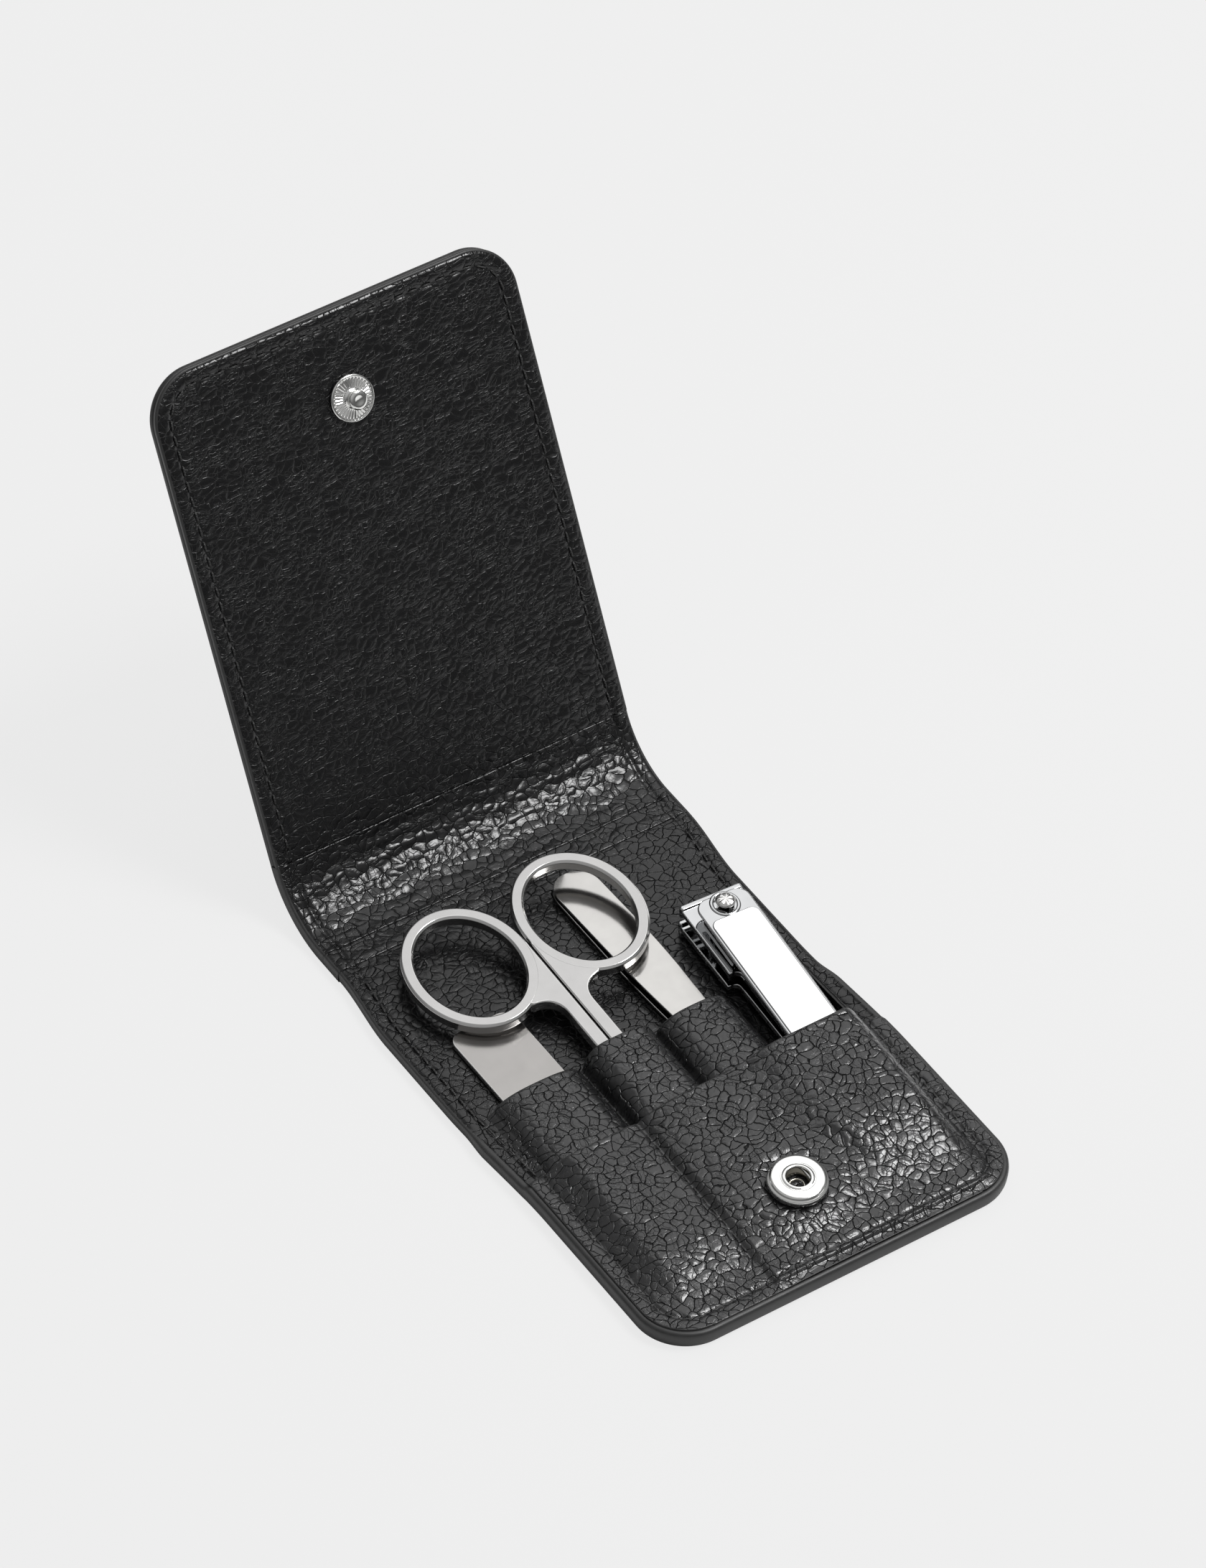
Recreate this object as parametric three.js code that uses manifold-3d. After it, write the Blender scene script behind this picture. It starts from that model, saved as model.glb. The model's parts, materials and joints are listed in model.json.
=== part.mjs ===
// A folding leather manicure case with its four tools, open on a table. Millimetres, +Z up, +Y
// from the front edge to the fold. The origin is the middle of the base's underside.
import * as THREE from 'three';
import { mergeVertices } from 'three/addons/utils/BufferGeometryUtils.js';
import Module from 'manifold-3d';

const wasm = await Module();
wasm.setup();

const degree = Math.PI / 180;
const quarterTurn = Math.PI / 2;

// Case
const caseWidth = 72;
const baseLength = 100.6;
const spineLength = 13.1;
const flapSetback = 1;
const cornerRadius = 9;
const flapRestAngle = 61 * degree;
const spineClosedAngle = 105 * degree;

// Plies of the panels, from the outside in
const outerPly = 0.9;
const boardThickness = 0.6;
const liningPly = 0.7;
const plyGap = 0.2;
const boardInset = 3.8;
const boardGap = 0.3;

// Folds
const lowerFoldWidth = 3;
const upperFoldRadius = 15;
const foldGap = 0.3;
const foldLift = 0.1;
const creaseDepth = 0.35;
const creases = 4;

// Sleeve strip and front pocket
const stripPly = 0.7;
const panelPly = 0.8;
const layerGap = 0.15;
const borderWidth = 4.4;
const borderStep = 0.6;
const stripMargin = 0.3;
const panelBorder = 3.6;
const stripFront = 8.4;
const sleeveFront = 13.5;
const ringFromMouth = 12.8;
const mouthStep = 16.5;
const fileBayShare = 0.2726;
const scissorsBayShare = 0.2321;
const tweezersBayShare = 0.2399;
const seamLand = 0.5;
const stripLandRight = 1;
const pocketCrownFromStrip = 0.8;
const pocketWall = 4.6;
const pocketFootInset = 3.4;
const pocketToeY = 5;
const sleeveFullnessShare = 0.8;
const gussetGap = 0.3;
const gussetPly = 0.8;
const gussetFromPost = 1;
const gussetCrestFromShoulder = 0.9;
const gussetFootInset = 3.5;
const gussetDrop = 0.6;
const gussetTipRise = 0.5;

// Snap fastener
const socketX = 0.2;
const socketY = 15.9;
const socketPadRadius = 7.2;
const socketPadFall = 9;
const socketPadClearance = 0.45;
const socketRadius = 4.95;
const socketHeight = 2.2;
const socketRoll = 0.5;
const socketMouth = 2.3;
const socketLip = 0.4;
const socketCavity = 3.5;
const socketFloor = 0.9;
const socketGroove = 3.5;
const socketGrooveWidth = 0.4;
const socketGrooveDepth = 0.15;
const socketSeatGap = 0.1;
const springWire = 0.28;
const springBarX = 1.95;
const springBarFront = 2.3;
const springBarBack = 1;
const postHole = 1.9;
const postRadius = 1.5;
const postCapRadius = 3.2;
const postCapThickness = 0.3;
const studRadius = 4.2;
const studFlange = 0.75;
const studFlangeEdge = 0.35;
const studNeck = 1.3;
const studBall = 1.75;
const studBallHeight = 0.8;
const studHeight = 2.9;
const studGap = 0.3;
const capRadius = 5.6;
const capThickness = 1.1;
const capEdge = 0.4;
const capShank = 1.2;
const capShankGap = 0.3;
const capShankDepth = 0.35;
const capSeatGap = 0.1;

// Seam threads
const seamInset = 3;
const threadWidth = 0.44;
const threadHeight = 0.3;
const threadGap = 0.1;
const threadEndGap = 0.6;

// Nail file
const toolLift = 0.2;
const toolClearance = 0.2;
const fileLeftGap = 2.25;
const fileRightGap = 2;
const fileFront = 14;
const fileBackGap = 22.8;
const fileThickness = 1;
const fileCorner = 2.6;

// Tweezers
const tweezersShift = 0.15;
const tweezersSideGap = 2.65;
const tweezersFront = 17;
const tweezersBackGap = 2.5;
const leafThickness = 0.6;
const leafTailGap = 0.25;
const leafTipGap = 0.5;
const leafBow = 1.1;
const leafTipHalfWidth = 1.1;
const leafWidestShare = 0.77;

// Scissors
const scissorsFromSeam = 6.3;
const scissorsFront = 17;
const scissorsOverTweezers = 0.95;
const scissorsRoll = 3.5 * degree;
const ringSideGap = 3.65;
const ringBackGap = 0.7;
const ringInnerY = 11.6;
const ringBand = 1.9;
const ringThickness = 2.6;
const halvesGap = 0.3;
const shankWidth = 2.5;
const shankStart = 6;
const shankThickness = 2.2;
const webDrop = 4.5;
const webAngle = 249 * degree;
const lapRadius = 4;
const lapGap = 0.2;
const lapThickness = 0.7;
const bladeLength = 21;
const bladeBack = 2.4;
const bladeEdge = 1;
const bladeTip = 0.3;
const screwRadius = 1.1;
const screwGap = 0.3;
const screwHeadRadius = 2.1;
const screwHead = 0.2;
const screwHeadGap = 0.05;

// Nail clipper, measured from its post
const clipperLeftGap = 1.8;
const clipperSideGap = 2.5;
const postFromFold = 27.8;
const clipperYaw = -3.5 * degree;
const clipperFront = 17;
const jawReach = 5.1;
const jawBack = 11.5;
const armShoulder = 1;
const armInset = 1.6;
const armThickness = 1.1;
const armHole = 2.1;
const armTailGap = 0.45;
const jawTop = 8.5;
const lipThickness = 1.1;
const lowerLip = 0.5;
const upperLip = 0.9;
const footThickness = 0.45;
const footRadius = 2.6;
const footGap = 0.15;
const clipperPostRadius = 1.4;
const postHeadRadius = 2.3;
const postHeadHeight = 0.8;
const postHeadGap = 0.2;
const rivetFromTail = 4;
const rivetRadius = 1.1;
const rivetHole = 1.45;
const rivetHeadRadius = 1.9;
const rivetHead = 0.4;
const rivetHeadGap = 0.05;
const leverInset = 0.7;
const leverCorner = 2.4;
const leverThickness = 0.9;
const leverReach = 2.4;
const leverFromTail = 7.5;
const leverForkTop = 11.5;
const leverTailTop = 7.6;
const leverHole = 1.9;
const leverFlange = 1.4;
const leverFlangeLength = 11;
const leverFlangeThickness = 0.8;
const leverClearance = 0.3;

const cutOverrun = 2;
const sides = 24;
const cornerSteps = 6;
const ringSteps = 18;
const wireSides = 6;

// Heights that everything on the base follows
const liningTop = outerPly + boardThickness + liningPly + 2 * plyGap;
const stripFloor = liningTop + layerGap;
const toolFloor = liningTop + toolLift;
const halfWidth = caseWidth / 2;
const baseEnd = baseLength - lowerFoldWidth / 2 - foldGap;
const upperHingeY = baseLength + spineLength;
const upperFoldReach = upperFoldRadius * Math.tan(flapRestAngle / 2);

// The width inside the border is shared out among the four bays, and each tool fits its bay
const stripLeft = borderWidth - halfWidth;
const pocketFootX = halfWidth - pocketFootInset;
const bayWidth = pocketFootX - stripLeft;
const pocketSeamX = stripLeft + fileBayShare * bayWidth;
const sleeveSeamX = pocketSeamX + scissorsBayShare * bayWidth;
const stripRight = sleeveSeamX + tweezersBayShare * bayWidth;
const fileLeft = stripLeft + layerGap + fileLeftGap;
const fileWidth = pocketSeamX - seamLand - fileRightGap - fileLeft;
const fileX = fileLeft + fileWidth / 2;
const tweezersLeft = sleeveSeamX + seamLand;
const tweezersRight = stripRight - stripLandRight;
const leafHalfWidth = (tweezersRight - tweezersLeft) / 2 - tweezersSideGap;
const tweezersX = (tweezersLeft + tweezersRight) / 2 + tweezersShift;
const jawHalfWidth = (pocketFootX - stripRight) / 2 - clipperSideGap;
const armHalfWidth = jawHalfWidth - armInset;
const leverHalfWidth = jawHalfWidth - leverInset;
const clipperX = stripRight + clipperLeftGap + jawHalfWidth;
const scissorsX = pocketSeamX + scissorsFromSeam;
const ringReach = clipperX - jawHalfWidth - ringSideGap - scissorsX;
const ringOuterX = (ringReach - halvesGap / 2) / 2;
const ringInnerX = ringOuterX - ringBand;
const ringCentreX = ringOuterX + halvesGap / 2;

// Every tool runs from its own front end to its own distance from the fold
const fileBack = baseEnd - fileBackGap;
const tweezersBack = baseEnd - tweezersBackGap;
const scissorsY = scissorsFront + bladeLength;
const ringOuterY = ringInnerY + ringBand;
const ringCentreY = baseEnd - ringBackGap - ringOuterY - scissorsY;
const clipperY = baseEnd - postFromFold;
const clipperTail = clipperY - clipperFront;
const leverTail = clipperTail - leverFromTail;
const sleeveMouth = scissorsY + ringCentreY - ringOuterY - ringFromMouth;
const pocketMouth = sleeveMouth - mouthStep;

// Pocket and gusset over the clipper
const pocketCrownX = stripRight + pocketCrownFromStrip;
const pocketShoulderX = pocketFootX - pocketWall;
const gussetBack = clipperY - gussetFromPost;
const gussetCrestX = pocketShoulderX + gussetCrestFromShoulder;
const gussetFootX = halfWidth - gussetFootInset;

// Tweezers, file and scissors heights
const leafTop = toolFloor + 2 * leafThickness + leafBow + (leafTipGap + leafTailGap) / 2;
const leafTipTop = toolFloor + 2 * leafThickness + leafTipGap;
const fileTop = toolFloor + fileThickness;
const lapTop = lapGap / 2 + lapThickness;
const scissorsTipZ = toolFloor + lapTop;
const ringLift = ringCentreX * Math.sin(scissorsRoll);
const ringSideLift = (ringCentreX + ringOuterX) * Math.sin(scissorsRoll);
const ringOverTweezers = leafTop + scissorsOverTweezers + ringThickness / 2 - ringLift;
const ringOverFile = fileTop + toolClearance + ringThickness / 2;
const scissorsPitch = Math.asin(Math.max(
  (ringOverTweezers - scissorsTipZ) / (ringCentreY + bladeLength),
  (ringOverFile + ringSideLift - scissorsTipZ) / (ringCentreY + bladeLength),
  (ringOverFile + ringLift - scissorsTipZ) / (ringCentreY - ringOuterY + bladeLength)));
const scissorsZ = scissorsTipZ + bladeLength * Math.sin(scissorsPitch);
const shankLift = (shankWidth + halvesGap) * Math.sin(scissorsRoll);
const scissorsMouthTop =
  scissorsZ + (sleeveMouth - scissorsY) * Math.tan(scissorsPitch) + shankThickness / 2 + shankLift;

// Nail clipper heights
const lowerArmZ = toolFloor + footThickness + footGap;
const rivetY = rivetFromTail - clipperTail;
const upperArmTailZ = lowerArmZ + armThickness + armTailGap;
const upperArmTilt = Math.asin((jawTop - armThickness - upperArmTailZ) / (jawReach - rivetY));
const leverTilt = Math.atan((leverForkTop - leverTailTop) / (leverReach + leverTail));
const leverZ = leverForkTop - leverReach * Math.tan(leverTilt);
const leverTopAt = (y) => leverZ + (y - clipperY) * Math.tan(leverTilt);

// Where the closed flap lies, with its stud seated in the socket
const sleeveFrontTop = Math.max(scissorsTipZ + lapTop, leafTipTop) + toolClearance + stripPly;
const socketSeat = sleeveFrontTop + socketPadClearance + panelPly;
const snapStack = socketHeight + studGap + studFlange;
const closedHingeY = baseLength + spineLength * Math.cos(spineClosedAngle);
const closedHingeZ = liningTop + spineLength * Math.sin(spineClosedAngle);
const closedRun = closedHingeY - socketY;
const closedRise = closedHingeZ - socketSeat;
const closedTilt =
  Math.atan2(closedRise, closedRun) - Math.asin(snapStack / Math.hypot(closedRun, closedRise));
const studAlongFlap = closedRun * Math.cos(closedTilt) + closedRise * Math.sin(closedTilt);
const flapLength = studAlongFlap + socketY - flapSetback;

const finish = (name, color, roughness, metalness) =>
  new THREE.MeshStandardMaterial({ name, color, roughness, metalness });
const leather = finish('leather', 0x17171a, 0.55, 0);
const liningLeather = finish('lining_leather', 0x1c1c1f, 0.65, 0);
const board = finish('board', 0x6b655b, 0.9, 0);
const thread = finish('thread', 0x0b0b0c, 0.5, 0);
const satinSteel = finish('satin_steel', 0xc6c4c0, 0.32, 1);
const chrome = finish('chrome', 0xe2e2e2, 0.08, 1);
const snapMetal = finish('snap_metal', 0xd2d2d0, 0.2, 1);

const { lerp, smoothstep } = THREE.MathUtils;

// A closed mesh as a solid that can be cut or joined, and the way back
function solid(geometry) {
  const bare = geometry.clone();
  bare.deleteAttribute('normal');
  bare.deleteAttribute('uv');
  const merged = mergeVertices(bare);
  return new wasm.Manifold(new wasm.Mesh({
    numProp: 3,
    vertProperties: new Float32Array(merged.attributes.position.array),
    triVerts: new Uint32Array(merged.index.array),
  }));
}

function geometryOf(shape) {
  const mesh = shape.getMesh();
  const geometry = new THREE.BufferGeometry();
  geometry.setAttribute('position', new THREE.BufferAttribute(mesh.vertProperties, 3));
  geometry.setIndex(new THREE.BufferAttribute(mesh.triVerts, 1));
  geometry.computeVertexNormals();
  return geometry;
}

function named(name, shape, material) {
  const geometry = shape.isBufferGeometry ? shape : geometryOf(shape);
  const mesh = new THREE.Mesh(geometry, material);
  mesh.name = name;
  return mesh;
}

// A flat outline raised from one height to another
function slab(outline, low, high, curveSegments = cornerSteps) {
  const settings = { depth: high - low, bevelEnabled: false, curveSegments };
  return new THREE.ExtrudeGeometry(outline, settings).translate(0, 0, low);
}

function block(left, right, front, back, low, high) {
  const geometry = new THREE.BoxGeometry(right - left, back - front, high - low);
  return geometry.translate((left + right) / 2, (front + back) / 2, (low + high) / 2);
}

function bar(radius, low, high, x = 0, y = 0) {
  const geometry = new THREE.CylinderGeometry(radius, radius, high - low, sides);
  return geometry.rotateX(quarterTurn).translate(x, y, (low + high) / 2);
}

// A turned piece about +Z, from the points of its section as radius and height
function turned(points) {
  const section = points.map(([radius, height]) => new THREE.Vector2(radius, height));
  return new THREE.LatheGeometry(section, sides).rotateX(quarterTurn);
}

// A sheet between an upper and a lower surface, both given at every pair of stations
function sheet(us, vs, upper, lower) {
  const corners = [];
  for (const side of [upper, lower]) {
    for (const v of vs) {
      for (const u of us) corners.push(...side(u, v));
    }
  }
  const at = (i, j, below = 0) => (below * vs.length + j) * us.length + i;
  const faces = [];
  for (let j = 0; j + 1 < vs.length; j += 1) {
    for (let i = 0; i + 1 < us.length; i += 1) {
      faces.push(at(i, j), at(i + 1, j), at(i + 1, j + 1));
      faces.push(at(i, j), at(i + 1, j + 1), at(i, j + 1));
      faces.push(at(i, j, 1), at(i + 1, j + 1, 1), at(i + 1, j, 1));
      faces.push(at(i, j, 1), at(i, j + 1, 1), at(i + 1, j + 1, 1));
    }
  }
  const wall = (i, j, nextI, nextJ) => {
    faces.push(at(i, j, 1), at(nextI, nextJ, 1), at(nextI, nextJ));
    faces.push(at(i, j, 1), at(nextI, nextJ), at(i, j));
  };
  const lastI = us.length - 1;
  const lastJ = vs.length - 1;
  for (let i = 0; i < lastI; i += 1) {
    wall(i, 0, i + 1, 0);
    wall(i + 1, lastJ, i, lastJ);
  }
  for (let j = 0; j < lastJ; j += 1) {
    wall(lastI, j, lastI, j + 1);
    wall(0, j + 1, 0, j);
  }
  const geometry = new THREE.BufferGeometry();
  geometry.setAttribute('position', new THREE.Float32BufferAttribute(corners, 3));
  geometry.setIndex(faces);
  return geometry;
}

// Stations from break to break, each stretch split into its count of equal steps
function stations(breaks, counts) {
  const list = [breaks[0]];
  counts.forEach((count, index) => {
    for (let step = 1; step <= count; step += 1) {
      list.push(lerp(breaks[index], breaks[index + 1], step / count));
    }
  });
  return list;
}

// A panel's outline: square at the plain end, its corners rounded at the other
function panelOutline(plainEnd, roundEnd, inset = 0) {
  const side = Math.sign(roundEnd - plainEnd);
  const edge = halfWidth - inset;
  const plain = plainEnd + side * inset;
  const round = roundEnd - side * inset;
  const radius = cornerRadius - inset;
  const outline = new THREE.Shape();
  outline.moveTo(-edge, plain);
  outline.lineTo(-edge, round - side * radius);
  outline.absarc(radius - edge, round - side * radius, radius, Math.PI, side * quarterTurn, side > 0);
  outline.absarc(edge - radius, round - side * radius, radius, side * quarterTurn, 0, side > 0);
  outline.lineTo(edge, plain);
  outline.closePath();
  return outline;
}

// Outer leather with a raised border, the board in its recess, and the lining over both
function panelPlies(plainEnd, roundEnd, bottom) {
  const recess = bottom + outerPly;
  const rim = recess + plyGap + boardThickness;
  const whole = slab(panelOutline(plainEnd, roundEnd), bottom, rim);
  const hollow = slab(
    panelOutline(plainEnd, roundEnd, boardInset - boardGap), recess, rim + cutOverrun);
  return {
    outer: solid(whole).subtract(solid(hollow)),
    board: solid(slab(panelOutline(plainEnd, roundEnd, boardInset), recess + plyGap, rim)),
    lining: solid(slab(panelOutline(plainEnd, roundEnd), rim + plyGap, bottom + liningTop)),
  };
}

// The seam round a panel, seamInset from its edge, between two stations along the panel
function edgeSeam(plainEnd, roundEnd, low, front, back, left = -halfWidth, right = halfWidth) {
  const high = low + threadHeight;
  const outside = slab(panelOutline(plainEnd, roundEnd, seamInset - threadWidth / 2), low, high);
  const inside = slab(
    panelOutline(plainEnd, roundEnd, seamInset + threadWidth / 2),
    low - cutOverrun, high + cutOverrun);
  const span = block(left, right, front, back, low - cutOverrun, high + cutOverrun);
  return solid(outside).subtract(solid(inside)).intersect(solid(span));
}

// A section drawn in Y and Z, drawn out over the width of the case
function acrossCase(outline) {
  const geometry = new THREE.ExtrudeGeometry(outline, { depth: caseWidth, bevelEnabled: false });
  geometry.applyMatrix4(new THREE.Matrix4().makeBasis(
    new THREE.Vector3(0, 1, 0), new THREE.Vector3(0, 0, 1), new THREE.Vector3(1, 0, 0)));
  return geometry.translate(-halfWidth, 0, 0);
}

// Lower fold: a flat band with creases along it
function lowerFold() {
  const front = baseLength - lowerFoldWidth / 2;
  const outline = new THREE.Shape();
  outline.moveTo(front, foldLift);
  outline.lineTo(front + lowerFoldWidth, foldLift);
  for (let step = 2 * creases; step >= 0; step -= 1) {
    const depth = step % 2 ? creaseDepth : 0;
    outline.lineTo(front + lowerFoldWidth * step / (2 * creases), liningTop - depth);
  }
  outline.closePath();
  return acrossCase(outline);
}

// Upper fold: the leather bends up in an arc, creased on the inside
function upperFold() {
  const centreY = upperHingeY - upperFoldReach;
  const centreZ = liningTop + upperFoldRadius;
  const steps = 4 * creases;
  const point = (radius, step) => {
    const angle = flapRestAngle * step / steps;
    return new THREE.Vector2(
      centreY + radius * Math.sin(angle), centreZ - radius * Math.cos(angle));
  };
  const points = [];
  for (let step = 0; step <= steps; step += 1) {
    points.push(point(centreZ - foldLift, step));
  }
  for (let step = steps; step >= 0; step -= 1) {
    points.push(point(upperFoldRadius + (step % 2 ? creaseDepth : 0), step));
  }
  return acrossCase(new THREE.Shape(points));
}

// Sleeve strip: one arch over each tool, lowest at its closed front, sewn down between them
const arches = [
  {
    from: stripLeft + layerGap, to: pocketSeamX - seamLand, front: fileTop + toolClearance * 2,
    mouth: fileTop + toolClearance * 2, squareness: 6,
  },
  {
    from: pocketSeamX + seamLand, to: sleeveSeamX - seamLand,
    front: scissorsTipZ + lapTop + toolClearance / 2, mouth: scissorsMouthTop + toolClearance,
    squareness: 5,
  },
  {
    from: tweezersLeft, to: tweezersRight,
    front: leafTipTop + toolClearance, mouth: leafTop + toolClearance * 1.5, squareness: 4,
  },
];

function stripUnder(x, y) {
  const arch = arches.find((each) => x > each.from && x < each.to);
  if (!arch) return stripFloor;
  const across = Math.abs(2 * (x - arch.from) / (arch.to - arch.from) - 1);
  const along = Math.max((y - sleeveFront) / (sleeveMouth - sleeveFront), 0);
  const crown = lerp(arch.front, arch.mouth, along ** sleeveFullnessShare) - stripFloor;
  return stripFloor
    + crown * Math.sqrt(1 - across ** arch.squareness) * smoothstep(y, stripFront, sleeveFront);
}

// Front pocket: follows the sleeves, swells over the clipper, and is flat under the snap
function pocketSwell(x, y) {
  const leftSlope = smoothstep(x, pocketSeamX + seamLand, pocketCrownX);
  const rightWall = 1 - smoothstep(x, pocketShoulderX, pocketFootX);
  const leverEnd = clipperY - leverTail;
  const crown = leverTopAt(Math.max(y, leverEnd)) + leverClearance - stripFloor;
  return crown * leftSlope * rightWall * smoothstep(y, pocketToeY, leverEnd);
}

function panelUnder(x, y) {
  const reach = Math.hypot(x - socketX, y - socketY);
  const padShare = 1 - smoothstep(reach, socketPadRadius, socketPadRadius + socketPadFall);
  const frontShare = smoothstep(y, panelBorder, socketY - socketPadRadius);
  const pad = socketSeat - panelPly + (y - socketY) * Math.tan(closedTilt);
  const free = lerp(stripFloor + pocketSwell(x, y), pad, padShare * frontShare);
  const overStrip = x > stripLeft - stripMargin && x < stripRight + stripMargin
    && y > stripFront - stripMargin;
  return overStrip ? Math.max(free, stripUnder(x, y) + stripPly + layerGap) : free;
}

const xStations = stations(
  [
    -halfWidth, stripLeft - stripMargin / 2 - borderStep, stripLeft - stripMargin / 2, stripLeft,
    arches[0].from, arches[0].to, arches[1].from, arches[1].to, arches[2].from, arches[2].to,
    stripRight, stripRight + stripMargin * 2, pocketShoulderX, pocketFootX, halfWidth,
  ],
  [1, 1, 1, 1, 7, 1, 7, 1, 7, 1, 1, 5, 4, 1]);
const padBack = socketY + socketPadRadius;
const yStations = stations(
  [
    0, panelBorder, stripFront - stripMargin / 2, stripFront, sleeveFront, padBack, pocketMouth,
    sleeveMouth,
  ],
  [1, 2, 1, 3, 5, 5, 4]);

function heightSheet(xs, ys, under, ply) {
  return sheet(xs, ys, (x, y) => [x, y, under(x, y) + ply], (x, y) => [x, y, under(x, y)]);
}

function sleeveStrip() {
  const xs = xStations.filter((x) => x >= stripLeft && x <= stripRight);
  const ys = yStations.filter((y) => y >= stripFront);
  return heightSheet(xs, ys, stripUnder, stripPly);
}

function atSocket(geometry) {
  return geometry.rotateX(closedTilt).translate(socketX, socketY, socketSeat);
}

function pocketPanel() {
  const ys = yStations.filter((y) => y <= pocketMouth);
  const outline = slab(panelOutline(baseEnd, 0), 0, leverForkTop + cutOverrun);
  const hole = atSocket(bar(postHole, -panelPly - cutOverrun, cutOverrun));
  return solid(heightSheet(xStations, ys, panelUnder, panelPly))
    .intersect(solid(outline)).subtract(solid(hole));
}

// Gusset: the pocket's side wall runs on behind the mouth and slopes down to the lining
function pocketGusset() {
  const front = pocketMouth + gussetGap;
  const crest = leverTopAt(pocketMouth) + leverClearance + panelPly - gussetDrop;
  const along = stations([0, 1], [cornerSteps]);
  const wall = (offset) => (share, up) => {
    const top = lerp(crest, stripFloor + gussetTipRise, share);
    const topX = lerp(gussetCrestX, gussetFootX, share);
    return [
      lerp(gussetFootX, topX, up) + offset, lerp(front, gussetBack, share),
      lerp(stripFloor, top, up),
    ];
  };
  return sheet(along, stations([0, 1], [2]), wall(0), wall(-gussetPly));
}

// Snap fastener: on the pocket a socket with its spring and post, on the flap a stud and cap
function snapSocket() {
  const lipZ = socketHeight - socketLip;
  const grooveZ = socketHeight - socketGrooveDepth;
  return turned([
    [postHole, socketSeatGap], [socketRadius - socketRoll, socketSeatGap],
    [socketRadius, socketSeatGap + socketRoll], [socketRadius, socketHeight - socketRoll],
    [socketRadius - socketRoll, socketHeight],
    [socketGroove + socketGrooveWidth / 2, socketHeight], [socketGroove, grooveZ],
    [socketGroove - socketGrooveWidth / 2, socketHeight],
    [socketMouth, socketHeight], [socketMouth, lipZ], [socketCavity, lipZ],
    [socketCavity, socketFloor], [postHole, socketFloor], [postHole, socketSeatGap],
  ]);
}

function snapSpring() {
  const height = (socketFloor + socketHeight - socketLip) / 2;
  const route = [new THREE.Vector3(springBarX, -springBarFront, height)];
  for (let step = 0; step <= cornerSteps; step += 1) {
    const angle = Math.PI * step / cornerSteps;
    route.push(new THREE.Vector3(
      springBarX * Math.cos(angle), springBarBack + springBarX * Math.sin(angle), height));
  }
  route.push(new THREE.Vector3(-springBarX, -springBarFront, height));
  const section = new THREE.Shape().absarc(0, 0, springWire, 0, 2 * Math.PI);
  return new THREE.ExtrudeGeometry(section, {
    extrudePath: new THREE.CatmullRomCurve3(route), steps: sides, curveSegments: wireSides / 2,
  });
}

function snapPost() {
  const capTop = -panelPly - layerGap;
  return turned([
    [0, capTop - postCapThickness], [postCapRadius, capTop - postCapThickness],
    [postCapRadius, capTop], [postRadius, capTop], [postRadius, 0], [0, 0],
  ]);
}

function snapStud() {
  const ballBase = studHeight - studBallHeight;
  const shankHole = capShank + capShankGap;
  const shankRoof = capShankDepth + capShankGap / 2;
  return turned([
    [0, shankRoof], [shankHole, shankRoof], [shankHole, capSeatGap], [studRadius, capSeatGap],
    [studRadius, studFlangeEdge], [studRadius - studFlangeEdge, studFlange],
    [studNeck, studFlange], [studNeck, ballBase],
    [studBall, ballBase + studBallHeight / 3], [studBall, studHeight - studBallHeight / 3],
    [studNeck, studHeight], [0, studHeight],
  ]);
}

function snapCap() {
  const face = -liningTop - capSeatGap;
  return turned([
    [0, face - capThickness], [capRadius / 2, face - capThickness],
    [capRadius, face - capEdge], [capRadius, face], [capShank, face],
    [capShank, capShankDepth], [0, capShankDepth],
  ]);
}

// Nail file: a flat plate with rounded corners
function nailFile() {
  const half = fileWidth / 2;
  const outline = new THREE.Shape();
  outline.absarc(fileX + half - fileCorner, fileFront + fileCorner, fileCorner, -quarterTurn, 0);
  outline.absarc(fileX + half - fileCorner, fileBack - fileCorner, fileCorner, 0, quarterTurn);
  outline.absarc(fileX - half + fileCorner, fileBack - fileCorner, fileCorner, quarterTurn, Math.PI);
  outline.absarc(
    fileX - half + fileCorner, fileFront + fileCorner, fileCorner, Math.PI, 3 * quarterTurn);
  return slab(outline, toolFloor, fileTop);
}

// Tweezers: two leaves that widen from the tips to a round tail, the upper one bowed
const tailCentre = tweezersBack - leafHalfWidth;
const leafEndShare = 0.95;

function leafHalfWidthAt(y) {
  const share = (y - tweezersFront) / (tweezersBack - tweezersFront);
  const width = lerp(leafTipHalfWidth, leafHalfWidth, smoothstep(share, 0, leafWidestShare));
  const intoTail = Math.max(y - tailCentre, 0);
  return width * Math.sqrt(1 - (leafEndShare * intoTail / leafHalfWidth) ** 2);
}

function leaf(under) {
  const across = stations([-1, 1], [4]);
  const along = stations([tweezersFront, tailCentre, tweezersBack], [14, cornerSteps]);
  const point = (rise) => (u, y) => [tweezersX + u * leafHalfWidthAt(y), y, under(y) + rise];
  return sheet(across, along, point(leafThickness), point(0));
}

function upperLeafUnder(y) {
  const share = (y - tweezersFront) / (tweezersBack - tweezersFront);
  const gap = lerp(leafTipGap, leafTailGap, share) + leafBow * Math.sin(Math.PI * share);
  return toolFloor + leafThickness + gap;
}

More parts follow.
